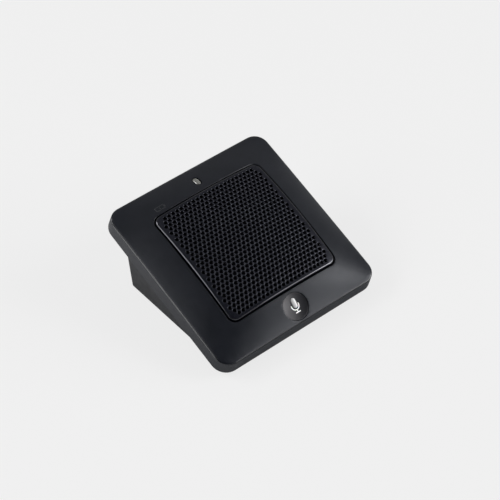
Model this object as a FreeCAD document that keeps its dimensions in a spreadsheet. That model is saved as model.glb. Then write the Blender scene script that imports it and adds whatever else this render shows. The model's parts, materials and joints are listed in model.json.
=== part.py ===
import FreeCAD, Part
import math
import os
import re
import Sketcher
from FreeCAD import Placement, Rotation, Vector

# Desk microphone: a wedge-shaped wireless table microphone with a domed perforated grille and
# one round mute button. Millimetres. +Z is up, +Y points to the back and +X to the right of
# someone who faces the button. The origin is on the table, under the middle of the outline.
# Two frames are used. The table frame is the part's own frame. The plate frame belongs to the
# tilted top plate: its origin is the middle of the rim plane and its z axis is the plate's normal.

SIZES = [
    # Top plate: half sizes of the rim in plan, side band with how far it flares out below, crown of
    # the top surface, tilt on the table
    ("half_width", 33.0),
    ("half_length", 33.75),
    ("corner_radius", 5.2),
    ("band", 5.5),
    ("band_flare", 0.35),
    ("crown", 7.16),
    ("tilt", 21.43),
    ("front_clear", 1.22),
    ("rim_fillet", 0.8),
    ("band_fillet", 0.3),
    ("wall", 2.0),
    ("skirt", 1.2),
    ("fit_gap", 0.1),
    # Grille pocket in the cover and the ledge that carries the grille
    ("margin_side", 10.5),
    ("margin_end", 10.8),
    ("pocket_radius", 3.1),
    ("pocket_shift", 0.33),
    ("ledge_level", 2.0),
    ("ledge_thickness", 1.5),
    ("ledge_width", 2.5),
    ("pocket_frame", 1.2),
    # Grille: domed sheet with a turned-down edge and a staggered field of round holes
    ("grille_gap", 0.4),
    ("grille_dome", 157.0),
    ("grille_sheet", 1.0),
    ("grille_edge", 0.6),
    ("gasket", 0.3),
    ("hole_radius", 0.55),
    ("hole_pitch", 1.673),
    ("row_pitch", 1.481),
    ("hole_border", 1.75),
    ("foam_gap", 0.1),
    # Mute button: ellipse in plan, so that it looks round on the sloping margin
    ("button_inset", 5.15),
    ("button_radius", 4.7),
    ("button_slope", 24.0),
    ("button_clearance", 0.1),
    ("button_recess", 0.35),
    ("button_dish", 0.8),
    ("button_rim", 0.12),
    ("button_foot", 0.3),
    ("button_hollow", 3.2),
    ("button_ceiling", 0.55),
    ("button_travel", 0.4),
    ("ear_reach", 1.5),
    ("ear_depth", 3.0),
    ("ear_thickness", 0.6),
    ("stop_gap", 0.05),
    # Microphone symbol in the button
    ("icon_width", 3.2),
    ("icon_height", 5.15),
    ("icon_stroke", 0.42),
    ("icon_arm", 0.45),
    ("capsule_sign_width", 1.45),
    ("capsule_sign_height", 3.5),
    ("icon_base", 1.9),
    ("guide_plate", 0.5),
    ("guide_stem", 0.9),
    # Switch under the button
    ("switch_size", 4.5),
    ("switch_height", 1.1),
    ("switch_corner", 0.5),
    ("plunger_seat", 0.4),
    ("plunger_radius", 1.0),
    ("plunger_gap", 0.05),
    # Status light in the back margin
    ("light_inset", 6.35),
    ("light_width", 1.9),
    ("light_length", 3.2),
    ("light_proud", 0.08),
    ("light_flange", 0.75),
    ("light_seat", 0.2),
    ("flange_thickness", 0.8),
    ("well_wall", 1.6),
    ("lamp_long", 1.6),
    ("lamp_short", 0.9),
    ("lamp_height", 0.5),
    # Battery symbol inlaid near the grille's back left corner
    ("symbol_inset_side", 15.9),
    ("symbol_inset_back", 8.85),
    ("symbol_length", 3.6),
    ("symbol_height", 1.9),
    ("symbol_stroke", 0.3),
    ("symbol_depth", 0.4),
    # Base: bottom outline at the table, leaning walls, floor
    ("base_half_width", 29.7),
    ("base_front", 27.2),
    ("base_back", 25.1),
    ("base_corner", 1.5),
    ("base_inner_corner", 0.5),
    ("base_draft", 1.2),
    ("base_wall", 2.0),
    ("base_lip", 1.0),
    ("deck", 1.6),
    ("floor", 1.6),
    ("foot_proud", 0.5),
    ("foot_radius", 4.0),
    ("foot_thickness", 1.5),
    ("foot_edge", 0.4),
    ("foot_inset", 8.0),
    # Screws, with their places as distances from the edge of the piece that they hold
    ("cover_screw_side", 8.5),
    ("cover_screw_front", 9.75),
    ("cover_screw_back", 13.75),
    ("cover_screw_length", 5.5),
    ("cover_boss", 2.6),
    ("screw_radius", 1.05),
    ("screw_head", 2.0),
    ("head_height", 1.3),
    ("screw_bite", 0.15),
    ("screw_clearance", 0.15),
    ("slot_width", 0.5),
    ("slot_depth", 0.6),
    ("board_screw_side", 2.4),
    ("board_screw_front", 5.2),
    ("board_screw_back", 10.2),
    ("board_screw_length", 3.6),
    ("board_boss", 1.9),
    ("boss_below", 1.0),
    ("base_screw_side", 5.0),
    ("base_screw_end", 14.0),
    ("base_screw_length", 4.0),
    ("base_boss", 2.4),
    ("tray_screw_back", 2.0),
    ("tray_screw_length", 3.0),
    # Main board and what it carries
    ("board_gap", 0.55),
    ("board_corner", 2.0),
    ("board_thickness", 1.2),
    ("board_standoff", 0.5),
    ("capsule_radius", 3.0),
    ("capsule_height", 2.7),
    ("capsule_front", 10.0),
    ("boot_wall", 1.2),
    ("boot_floor", 1.2),
    ("boot_top_gap", 0.1),
    ("port_radius", 1.0),
    ("port_depth", 0.6),
    ("shield_x", 8.0),
    ("shield_y", 10.0),
    ("shield_height", 2.4),
    ("shield_sheet", 0.25),
    ("shield_right", 10.0),
    ("shield_back", 7.0),
    ("chip_height", 1.0),
    ("radio_chip_half", 3.5),
    ("radio_chip_shift", 3.0),
    ("processor_half", 4.0),
    ("processor_back", 5.0),
    ("audio_chip_half", 2.5),
    ("audio_chip_front", 6.0),
    ("chips_left", 9.0),
    ("filter_radius", 2.0),
    ("filter_height", 1.9),
    ("filter_side", 13.0),
    ("filter_front", 17.0),
    ("small_long", 2.0),
    ("small_short", 1.2),
    ("small_height", 0.6),
    ("small_step_x", 3.0),
    ("small_step_y", 3.5),
    ("small_left", 14.0),
    ("small_back", 14.0),
    ("antenna_length", 20.0),
    ("antenna_height", 2.3),
    ("antenna_width", 2.4),
    ("antenna_sheet", 0.3),
    ("antenna_inset", 1.5),
    # Battery in its tray under the deck
    ("battery_half_x", 16.5),
    ("battery_half_y", 11.0),
    ("battery_thickness", 8.0),
    ("battery_middle", 7.0),
    ("battery_round", 1.5),
    ("pad_thickness", 0.7),
    ("tray_wall", 1.2),
    ("tray_ear", 2.4),
    ("tab_side", 5.0),
    ("tab_width", 3.0),
    ("tab_sheet", 0.3),
    ("tab_drop", 2.5),
    # Charging contacts in the floor
    ("contact_inset", 11.1),
    ("contact_pitch", 4.0),
    ("contact_radius", 0.9),
    ("contact_recess", 0.15),
    ("contact_block_x", 7.0),
    ("contact_block_y", 2.5),
    ("contact_block_height", 2.2),
    ("charge_board", 0.8),
    ("charge_board_margin", 1.0),
]

NAMES = {alias for alias, value in SIZES}

doc = FreeCAD.newDocument("desk_microphone")
sheet = doc.addObject("Spreadsheet::Sheet", "Sizes")
for row, (alias, value) in enumerate(SIZES, start=1):
    sheet.set(f"A{row}", alias)
    sheet.set(f"B{row}", str(value))
    sheet.setAlias(f"B{row}", alias)
doc.recompute()


def size(alias):
    return float(sheet.get(alias))


def formula(text):
    """Write the sheet's name before each alias in an expression."""
    return re.sub(r"[a-z_]{3,}", lambda word: f"Sizes.{word[0]}" if word[0] in NAMES else word[0], text)


def bind(thing, prop, text):
    thing.setExpression(prop, formula(text))


def worth(text):
    """What an expression comes to with the sheet's present values."""
    return float(sheet.evalExpression(formula(text)))


# Heights above the rim plane in the plate frame, as expressions
DECK_LOW = "-band"
DECK_TOP = "(-band + deck)"
BOARD_LOW = f"({DECK_TOP} + board_standoff)"
BOARD_TOP = f"({BOARD_LOW} + board_thickness)"
BATTERY_TOP = "(-band - pad_thickness)"
BATTERY_LOW = f"({BATTERY_TOP} - battery_thickness)"
GRILLE_LOW = "(ledge_level + gasket)"
BUTTON_HEIGHT = "(crown*(1 - ((half_length - button_inset)/half_length)^3))"
BUTTON_LOW = "(-button_foot)"
STEM_LOW = f"({BOARD_TOP} + switch_height + button_travel + plunger_gap)"
FLOOR_TOP = "(foot_proud + floor)"
OVER = "(crown + band)"
UNDER = "(-band - wall)"

# Half sizes and places in plan, as expressions
POCKET_X = "(half_width - margin_side)"
POCKET_Y = "(half_length - margin_end)"
GRILLE_X = f"({POCKET_X} - grille_gap)"
GRILLE_Y = f"({POCKET_Y} - grille_gap)"
GRILLE_RADIUS = "(pocket_radius - grille_gap)"
BOARD_X = "(half_width - cover_screw_side - cover_boss - board_gap)"
BOARD_Y = "(half_length - wall - board_gap)"
BASE_Y = "((base_back + base_front)/2)"
BASE_MIDDLE = "((base_back - base_front)/2)"
BUTTON_Y = "(button_inset - half_length)"
LIGHT_Y = "(half_length - light_inset)"
BATTERY_FRONT = "(battery_middle - battery_half_y)"
CONTACT_Y = "(base_back - contact_inset)"
SHORT_RADIUS = "button_radius*cos(button_slope)"

PLATE_Y = "(-(band*sin(tilt) + band_flare*cos(tilt))/2)"
PLATE_Z = "(front_clear + (half_length + band_flare)*sin(tilt) + band*cos(tilt))"


def place(thing, frame, x="0", y="0", z="0"):
    """Put an object at a point of the table frame or of the plate frame."""
    if frame == "table":
        bind(thing, "Placement.Base.x", x)
        bind(thing, "Placement.Base.y", y)
        bind(thing, "Placement.Base.z", z)
        return
    thing.Placement = Placement(Vector(), Rotation(Vector(1, 0, 0), 1))
    bind(thing, "Placement.Rotation.Angle", "tilt")
    bind(thing, "Placement.Base.x", x)
    bind(thing, "Placement.Base.y", f"{PLATE_Y} + ({y})*cos(tilt) - ({z})*sin(tilt)")
    bind(thing, "Placement.Base.z", f"{PLATE_Z} + ({y})*sin(tilt) + ({z})*cos(tilt)")


def constrain(sketch, kind, *where_and_text):
    """Add one driving constraint whose last argument is its expression."""
    *where, text = where_and_text
    index = sketch.addConstraint(Sketcher.Constraint(kind, *where, worth(text)))
    bind(sketch, f"Constraints[{index}]", text)


def draw_rounded(sketch, half_x, half_y, radius):
    """Rounded rectangle about the sketch's origin. Lines 0 to 3, then their corner arcs."""
    x, y, r = worth(half_x), worth(half_y), worth(radius)
    a, b = x - r, y - r
    lines = [(-a, -y, a, -y), (x, -b, x, b), (a, y, -a, y), (-x, b, -x, -b)]
    for x0, y0, x1, y1 in lines:
        sketch.addGeometry(Part.LineSegment(Vector(x0, y0, 0), Vector(x1, y1, 0)))
    for corner, (cx, cy) in enumerate([(a, -b), (a, b), (-a, b), (-a, -b)]):
        circle = Part.Circle(Vector(cx, cy, 0), Vector(0, 0, 1), r)
        start = (corner - 1) * math.pi / 2
        sketch.addGeometry(Part.ArcOfCircle(circle, start, start + math.pi / 2))
    for corner in range(4):
        sketch.addConstraint(Sketcher.Constraint("Tangent", corner, 2, 4 + corner, 1))
        sketch.addConstraint(Sketcher.Constraint("Tangent", 4 + corner, 2, (corner + 1) % 4, 1))
    for line in (0, 2):
        sketch.addConstraint(Sketcher.Constraint("Horizontal", line))
    for line in (1, 3):
        sketch.addConstraint(Sketcher.Constraint("Vertical", line))
    for arc in (5, 6, 7):
        sketch.addConstraint(Sketcher.Constraint("Equal", 4, arc))
    constrain(sketch, "Radius", 4, radius)
    constrain(sketch, "DistanceX", -1, 1, 1, 1, half_x)
    constrain(sketch, "DistanceX", 3, 1, -1, 1, half_x)
    constrain(sketch, "DistanceY", -1, 1, 2, 1, half_y)
    constrain(sketch, "DistanceY", 0, 1, -1, 1, half_y)


def draw_rectangle(sketch, half_x, half_y):
    x, y = worth(half_x), worth(half_y)
    points = [Vector(-x, -y, 0), Vector(x, -y, 0), Vector(x, y, 0), Vector(-x, y, 0)]
    for i in range(4):
        sketch.addGeometry(Part.LineSegment(points[i], points[(i + 1) % 4]))
    for i in range(4):
        sketch.addConstraint(Sketcher.Constraint("Coincident", i, 2, (i + 1) % 4, 1))
        sketch.addConstraint(Sketcher.Constraint("Horizontal" if i % 2 == 0 else "Vertical", i))
    constrain(sketch, "DistanceX", -1, 1, 1, 1, half_x)
    constrain(sketch, "DistanceX", 3, 1, -1, 1, half_x)
    constrain(sketch, "DistanceY", -1, 1, 2, 1, half_y)
    constrain(sketch, "DistanceY", 0, 1, -1, 1, half_y)


def draw_pill(sketch, half_x, half_y):
    """Slot outline, longer along y, with full half-round ends."""
    r = worth(half_x)
    y = worth(half_y) - r
    sketch.addGeometry(Part.LineSegment(Vector(r, -y, 0), Vector(r, y, 0)))
    sketch.addGeometry(Part.LineSegment(Vector(-r, y, 0), Vector(-r, -y, 0)))
    for end in (1, -1):
        circle = Part.Circle(Vector(0, y * end, 0), Vector(0, 0, 1), r)
        start = 0 if end == 1 else math.pi
        sketch.addGeometry(Part.ArcOfCircle(circle, start, start + math.pi))
    sketch.addConstraint(Sketcher.Constraint("Tangent", 0, 2, 2, 1))
    sketch.addConstraint(Sketcher.Constraint("Tangent", 2, 2, 1, 1))
    sketch.addConstraint(Sketcher.Constraint("Tangent", 1, 2, 3, 1))
    sketch.addConstraint(Sketcher.Constraint("Tangent", 3, 2, 0, 1))
    sketch.addConstraint(Sketcher.Constraint("Vertical", 0))
    constrain(sketch, "DistanceX", -1, 1, 0, 1, half_x)
    constrain(sketch, "DistanceX", 1, 1, -1, 1, half_x)
    constrain(sketch, "DistanceY", -1, 1, 0, 2, f"{half_y} - ({half_x})")
    constrain(sketch, "DistanceY", 0, 1, -1, 1, f"{half_y} - ({half_x})")


def extrusion(name, sketch, length, taper="0"):
    solid = doc.addObject("Part::Extrusion", name)
    solid.Base = sketch
    solid.DirMode = "Normal"
    solid.Solid = True
    bind(solid, "LengthFwd", length)
    bind(solid, "TaperAngle", taper)
    return solid


def block(name, frame, half_x, half_y, low, high, x="0", y="0", radius=None, taper="0"):
    """Upright prism on a rectangle, rounded when a radius is given."""
    sketch = doc.addObject("Sketcher::SketchObject", name + "_outline")
    if radius is None:
        draw_rectangle(sketch, half_x, half_y)
    else:
        draw_rounded(sketch, half_x, half_y, radius)
    place(sketch, frame, x, y, low)
    return extrusion(name, sketch, f"({high}) - ({low})", taper)


def pill(name, frame, half_x, half_y, low, high, x="0", y="0"):
    sketch = doc.addObject("Sketcher::SketchObject", name + "_outline")
    draw_pill(sketch, half_x, half_y)
    place(sketch, frame, x, y, low)
    return extrusion(name, sketch, f"({high}) - ({low})")


def rod(name, frame, radius, low, high, x="0", y="0"):
    solid = doc.addObject("Part::Cylinder", name)
    bind(solid, "Radius", radius)
    bind(solid, "Height", f"({high}) - ({low})")
    place(solid, frame, x, y, low)
    return solid


def oval(name, radius_x, radius_y, low, high, y):
    """Upright elliptic prism in the plate frame, for the button and its bore."""
    outline = doc.addObject("Part::Ellipse", name + "_outline")
    bind(outline, "MajorRadius", radius_x)
    bind(outline, "MinorRadius", radius_y)
    place(outline, "plate", "0", y, low)
    return extrusion(name, outline, f"({high}) - ({low})")


def ball(name, radius, y, z):
    """Ball in the plate frame, with its poles and seam turned away from the top and bottom."""
    solid = doc.addObject("Part::Sphere", name)
    bind(solid, "Radius", radius)
    place(solid, "plate", "0", y, z)
    bind(solid, "Placement.Rotation.Angle", "tilt + 90")
    return solid


def fuse(name, parts):
    joined = doc.addObject("Part::MultiFuse", name)
    joined.Shapes = parts
    joined.Refine = True
    return joined


def common(name, first, second):
    kept = doc.addObject("Part::Common", name)
    kept.Base = first
    kept.Tool = second
    return kept


def cut(name, base, *tools):
    """Take one tool, or several joined into one, away from a solid."""
    result = doc.addObject("Part::Cut", name)
    result.Base = base
    result.Tool = tools[0] if len(tools) == 1 else fuse(name + "_tools", list(tools))
    return result


def group(name, parts):
    """Separate solids under one name."""
    together = doc.addObject("Part::Compound", name)
    together.Links = parts
    return together


def to_plate(point):
    """The same point in the plate frame."""
    tilt = math.radians(size("tilt"))
    y = point.y - worth(PLATE_Y)
    z = point.z - worth(PLATE_Z)
    return Vector(point.x, y * math.cos(tilt) + z * math.sin(tilt), z * math.cos(tilt) - y * math.sin(tilt))


def round_edges(name, base, choices):
    """Fillet the edges of base that each (radius, test) pair picks."""
    doc.recompute()
    edges = []
    for index, edge in enumerate(base.Shape.Edges, start=1):
        for radius, chosen in choices:
            if chosen(edge):
                edges.append((index, radius, radius))
    rounded = doc.addObject("Part::Fillet", name)
    rounded.Base = base
    rounded.Edges = edges
    return rounded


def ends_in_plate(edge, test):
    points = [to_plate(vertex.Point) for vertex in edge.Vertexes]
    points.append(to_plate(edge.valueAt((edge.FirstParameter + edge.LastParameter) / 2)))
    return all(test(point) for point in points)


# How far past the rim the crowned surface runs, as a share of the plate's half size
RIM_OVERRUN = 1.03


def crown_block(name, drop):
    """Everything under the crowned top surface, which is sunk by drop below its real place.

    The crown's height is crown*(1 - |x/half_width|^3)*(1 - |y/half_length|^3). That is exactly
    one bicubic spline surface with a knot at the middle of each side. It runs a little past the
    rim, so that the plate's side walls trim it.
    """
    reach = RIM_OVERRUN
    stations = [-reach, -2 * reach / 3, 0, 2 * reach / 3, reach]
    end = 1 - reach ** 3
    weights = [end, 1, 1, 1, end]
    poles = [
        [
            Vector(size("half_width") * u, size("half_length") * v, size("crown") * wu * wv - drop)
            for v, wv in zip(stations, weights)
        ]
        for u, wu in zip(stations, weights)
    ]
    surface = Part.BSplineSurface()
    ends = [4, 1, 4]
    knots = [-reach, 0, reach]
    surface.buildFromPolesMultsKnots(poles, ends, ends, knots, knots, False, False, 3, 3)
    depth = size("crown") + 4 * size("band")
    body = doc.addObject("Part::Feature", name)
    body.Shape = surface.toShape().extrude(Vector(0, 0, -depth))
    place(body, "plate")
    return body


PARTS = {}


def keep(node, thing):
    """Name a finished sub-part."""
    thing.Label = node
    PARTS[node] = thing
    return thing


def screw(name, frame, x, y, head_face, up, length):
    """Pan-head screw with a slot. Its head's seat is at head_face and its shank points up or down."""
    sign = "" if up else "-"
    shank_end = f"{head_face} + ({sign}({length}))"
    head_end = f"{head_face} - ({sign}head_height)"
    slot_end = f"{head_face} - ({sign}(head_height - slot_depth))"
    if up:
        shank = rod(name + "_shank", frame, "screw_radius", head_face, shank_end, x, y)
        head = rod(name + "_head", frame, "screw_head", head_end, head_face, x, y)
        slot = block(name + "_slot", frame, "2*screw_head", "slot_width/2", head_end, slot_end, x, y)
    else:
        shank = rod(name + "_shank", frame, "screw_radius", shank_end, head_face, x, y)
        head = rod(name + "_head", frame, "screw_head", head_face, head_end, x, y)
        slot = block(name + "_slot", frame, "2*screw_head", "slot_width/2", slot_end, head_end, x, y)
    return cut(name, fuse(name + "_blank", [shank, head]), slot)


def corners(side, front, back):
    """Four places: left and right of the middle, near the front and near the back."""
    return [(f"{sign}({side})", y) for sign in ("-", "") for y in (front, back)]


COVER_SCREWS = corners(
    "half_width - cover_screw_side", "cover_screw_front - half_length", "half_length - cover_screw_back"
)
BOARD_SCREWS = corners(
    f"{BOARD_X} - board_screw_side", f"board_screw_front - {BOARD_Y}", f"{BOARD_Y} - board_screw_back"
)
BASE_SCREWS = corners(
    "base_half_width - base_screw_side", "base_screw_end - base_front", "base_back - base_screw_end"
)
FEET = corners("base_half_width - foot_inset", "foot_inset - base_front", "base_back - foot_inset")
TRAY_SCREW_X = "(battery_half_x + fit_gap + tray_wall + tray_ear)"
TRAY_SCREWS = [(f"-{TRAY_SCREW_X}", "tray_screw_back"), (TRAY_SCREW_X, "tray_screw_back")]


def battery_symbol():
    """Prism on the outline of a battery with a terminal, as tall as the crown."""
    low, high = "ledge_level", "crown"
    x, y = "symbol_inset_side - half_width", "half_length - symbol_inset_back"
    half_x, half_y = "symbol_length/2", "symbol_height/2"
    outer = block("symbol_outer", "plate", half_x, half_y, low, high, x, y)
    inner_x, inner_y = f"{half_x} - symbol_stroke", f"{half_y} - symbol_stroke"
    inner = block("symbol_inner", "plate", inner_x, inner_y, low, high, x, y)
    tip_x = f"{x} + {half_x} + symbol_stroke/2"
    tip = block("symbol_tip", "plate", "symbol_stroke/2", "symbol_height/4", low, high, tip_x, y)
    return fuse("symbol", [cut("symbol_frame", outer, inner), tip])


def pocket_block(name, inset, low, high):
    """Prism on the grille pocket's outline, moved in by inset."""
    return block(
        name, "plate", f"{POCKET_X} - ({inset})", f"{POCKET_Y} - ({inset})", low, high, "0", "-pocket_shift",
        radius=f"pocket_radius - ({inset})",
    )


def cover_rooms():
    """What is left in the cover's inside: the pocket's frame, the light's well and screw bosses."""
    rooms = [
        pocket_block("pocket_frame_solid", "-pocket_frame", "ledge_level - ledge_thickness", OVER),
        pill(
            "light_well", "plate", "light_width/2 + well_wall", "light_length/2 + well_wall", "light_seat",
            OVER, "0", LIGHT_Y,
        ),
    ]
    for index, (x, y) in enumerate(COVER_SCREWS):
        rooms.append(rod(f"cover_boss_{index}", "plate", "cover_boss", DECK_TOP, OVER, x, y))
    return rooms


def cover_openings():
    """Grille pocket and its mouth, button bore and ear seat, light slot and screw pilots."""
    mouth = block(
        "pocket_mouth", "plate", f"{POCKET_X} - ledge_width", f"{POCKET_Y} - ledge_width", "-band", "crown",
        "0", "-pocket_shift", radius="pocket_radius",
    )
    bore = oval(
        "button_bore", "button_radius + button_clearance", f"{SHORT_RADIUS} + button_clearance",
        f"{BUTTON_LOW} - button_travel - button_clearance", OVER, BUTTON_Y,
    )
    seat = block(
        "ear_seat", "plate", "button_radius + ear_reach + button_clearance", "ear_depth/2 + button_clearance",
        f"{BUTTON_LOW} - button_travel - wall", f"{BUTTON_LOW} + ear_thickness + stop_gap", "0", BUTTON_Y,
    )
    slot = pill("light_slot", "plate", "light_width/2", "light_length/2", "-wall", "crown", "0", LIGHT_Y)
    openings = [pocket_block("pocket", "0", "ledge_level", OVER), mouth, bore, seat, slot]
    for index, (x, y) in enumerate(COVER_SCREWS):
        tip = "cover_screw_length - band + screw_bite"
        openings.append(rod(f"cover_pilot_{index}", "plate", "screw_radius", "-band", tip, x, y))
    return openings


def top_cover(symbol_recess):
    """Crowned shell with the grille pocket, the button's bore, light well and screw bosses."""
    prism = block(
        "cover_prism", "plate", "half_width + band_flare", "half_length + band_flare", "-band", OVER,
        radius="corner_radius + band_flare", taper="-atan(band_flare/band)",
    )
    solid = common("cover_solid", prism, crown_block("cover_crown", 0))
    band = size("band")

    def rim(edge):
        return ends_in_plate(edge, lambda point: abs(point.z) < band / 4)

    def lower_rim(edge):
        return ends_in_plate(edge, lambda point: abs(point.z + band) < band / 100)

    choices = [(size("rim_fillet"), rim), (size("band_fillet"), lower_rim)]
    rounded = round_edges("cover_rounded", solid, choices)
    inside_prism = block(
        "inside_prism", "plate", "half_width - wall", "half_length - wall", UNDER, OVER,
        radius="corner_radius - wall",
    )
    inside = common("cover_inside", inside_prism, crown_block("inside_crown", size("wall")))
    hollow = cut("cover_hollow", inside, *cover_rooms())
    rebate = block(
        "skirt_rebate", "plate", "half_width - skirt", "half_length - skirt", UNDER, DECK_TOP,
        radius="corner_radius - skirt",
    )
    shell = cut("cover_shell", rounded, fuse("cover_cavity", [hollow, rebate]))
    keep("top_cover", cut("top_cover", shell, symbol_recess, *cover_openings()))


def grille_holes():
    """Radial drills on a staggered grid, the corner ones left out of the first and last rows."""
    radius = size("grille_dome")
    centre = Vector(0, -size("pocket_shift"), size("crown") - radius)
    border = 2 * size("hole_border")
    columns = int((2 * worth(GRILLE_X) - border) / size("hole_pitch")) + 1
    rows = int((2 * worth(GRILLE_Y) - border) / size("row_pitch")) + 1
    drills = []
    for row in range(rows):
        count = columns - row % 2
        if row in (0, rows - 1):
            count -= 2
        for column in range(count):
            x = (column - (count - 1) / 2) * size("hole_pitch")
            y = (row - (rows - 1) / 2) * size("row_pitch")
            out = Vector(x, y, math.sqrt(radius ** 2 - x ** 2 - y ** 2)).normalize()
            low = centre + out * (radius - 2 * size("grille_sheet"))
            drills.append(Part.makeCylinder(size("hole_radius"), 3 * size("grille_sheet"), low, out))
    holes = doc.addObject("Part::Feature", "grille_holes")
    holes.Shape = Part.makeCompound(drills)
    place(holes, "plate")
    return holes


def dome(name, drop):
    """Ball whose top is the grille's outer face, sunk by drop."""
    return ball(name, f"grille_dome - ({drop})", "-pocket_shift", "crown - grille_dome")


def grille():
    """Domed sheet with a turned-down edge that stands on the gasket."""
    prism = pocket_block("grille_prism", "grille_gap", GRILLE_LOW, OVER)
    outside = common("grille_solid", prism, dome("grille_ball", "0"))
    edge_radius = size("grille_edge")
    lifted = worth(GRILLE_LOW) + edge_radius

    def top_edge(edge):
        heights = [to_plate(vertex.Point).z for vertex in edge.Vertexes]
        return min(heights) > lifted and max(heights) - min(heights) < edge_radius

    rounded = round_edges("grille_rounded", outside, [(edge_radius, top_edge)])
    inner_prism = pocket_block("grille_inner_prism", "grille_gap + grille_sheet", "ledge_level", OVER)
    inside = common("grille_inside", inner_prism, dome("grille_inner_ball", "grille_sheet"))
    keep("grille", cut("grille", cut("grille_sheet_metal", rounded, inside), grille_holes()))

    ring = pocket_block("gasket_out", "grille_gap", "ledge_level", GRILLE_LOW)
    opening = pocket_block("gasket_in", "grille_gap + grille_sheet", "ledge_level", GRILLE_LOW)
    keep("grille_gasket", cut("grille_gasket", ring, opening))

    foam_prism = pocket_block("foam_prism", "grille_gap + grille_sheet + foam_gap", "ledge_level", OVER)
    keep("grille_foam", common("grille_foam", foam_prism, dome("foam_ball", "grille_sheet + foam_gap")))


def microphone_sign():
    """Prisms of the microphone symbol: capsule, holder, stem and base bar."""
    low, high = "button_ceiling", "crown"
    top = f"{BUTTON_Y} + icon_height/2"
    bottom = f"({BUTTON_Y} - icon_height/2)"
    half_x, half_y = "capsule_sign_width/2", "capsule_sign_height/2"
    capsule = pill("sign_capsule", "plate", half_x, half_y, low, high, "0", f"{top} - {half_y}")
    holder_y = f"{top} - capsule_sign_height + capsule_sign_width/2"
    holder = cut(
        "sign_holder",
        rod("sign_holder_out", "plate", "icon_width/2", low, high, "0", holder_y),
        rod("sign_holder_in", "plate", "icon_width/2 - icon_stroke", low, high, "0", holder_y),
        block(
            "sign_holder_top", "plate", "icon_width", "icon_width/2", low, high, "0",
            f"{holder_y} + icon_arm + icon_width/2",
        ),
    )
    stem_top = f"({holder_y} - icon_width/2 + icon_stroke/2)"
    stem_half = f"({stem_top} - {bottom})/2"
    stem_y = f"({stem_top} + {bottom})/2"
    stem = block("sign_stem", "plate", "icon_stroke/2", stem_half, low, high, "0", stem_y)
    bar_y = f"{bottom} + icon_stroke/2"
    bar = block("sign_bar", "plate", "icon_base/2", "icon_stroke/2", low, high, "0", bar_y)
    return fuse("microphone_sign", [capsule, holder, stem, bar])


def over_button(face):
    """Box whose lower face is the plane of the button's rim."""
    box = doc.addObject("Part::Box", "cap_over")
    reach = "2*button_radius"
    angle = "(tilt + button_slope)"
    bind(box, "Length", f"2*{reach}")
    bind(box, "Width", f"2*{reach}")
    bind(box, "Height", OVER)
    box.Placement = Placement(Vector(), Rotation(Vector(1, 0, 0), 1))
    bind(box, "Placement.Rotation.Angle", angle)
    bind(box, "Placement.Base.x", f"-{reach}")
    middle_y = f"{PLATE_Y} + {BUTTON_Y}*cos(tilt) - {face}*sin(tilt)"
    middle_z = f"{PLATE_Z} + {BUTTON_Y}*sin(tilt) + {face}*cos(tilt)"
    bind(box, "Placement.Base.y", f"{middle_y} - {reach}*cos{angle}")
    bind(box, "Placement.Base.z", f"{middle_z} - {reach}*sin{angle}")
    return box


def mute_button():
    """Dished cap with two ears under the cover, and the clear guide that fills its symbol."""
    blank = oval("cap_blank", "button_radius", SHORT_RADIUS, BUTTON_LOW, OVER, BUTTON_Y)
    face = f"({BUTTON_HEIGHT} - button_recess/cos(button_slope))"
    dish_radius = "(((button_radius - button_rim)^2 + button_dish^2)/(2*button_dish))"
    lift = f"({dish_radius} - button_dish)"
    dish_y = f"{BUTTON_Y} - {lift}*sin(button_slope)"
    dish = ball("cap_dish", dish_radius, dish_y, f"{face} + {lift}*cos(button_slope)")
    cap = cut("cap_solid", blank, over_button(face), dish)
    ear_x = "button_radius + ear_reach"
    ear_top = f"{BUTTON_LOW} + ear_thickness"
    ears = block("cap_ears", "plate", ear_x, "ear_depth/2", BUTTON_LOW, ear_top, "0", BUTTON_Y)
    hollow_low = f"{BUTTON_LOW} - wall"
    hollow = rod("cap_hollow", "plate", "button_hollow", hollow_low, "button_ceiling", "0", BUTTON_Y)
    sign = microphone_sign()
    keep("mute_button", cut("mute_button", fuse("cap_with_ears", [cap, ears]), hollow, sign))
    disc_low = "button_ceiling - guide_plate"
    disc = rod("guide_disc", "plate", "button_hollow - fit_gap", disc_low, "button_ceiling", "0", BUTTON_Y)
    stem = rod("guide_rod", "plate", "guide_stem", STEM_LOW, "button_ceiling", "0", BUTTON_Y)
    keep("icon_light_guide", fuse("icon_light_guide", [disc, stem, common("sign_columns", sign, cap)]))


def mute_switch():
    """Push switch on the main board under the button, with its moving plunger."""
    half = "switch_size/2"
    top = f"({BOARD_TOP} + switch_height)"
    body = block("switch_block", "plate", half, half, BOARD_TOP, top, "0", BUTTON_Y, radius="switch_corner")
    low = f"({top} - plunger_seat)"
    well_low = f"{low} - button_travel - plunger_gap"
    well = rod("switch_well", "plate", "plunger_radius + fit_gap", well_low, top, "0", BUTTON_Y)
    keep("switch_body", cut("switch_body", body, well))
    high = f"{STEM_LOW} - plunger_gap"
    keep("switch_plunger", rod("switch_plunger", "plate", "plunger_radius", low, high, "0", BUTTON_Y))


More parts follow.
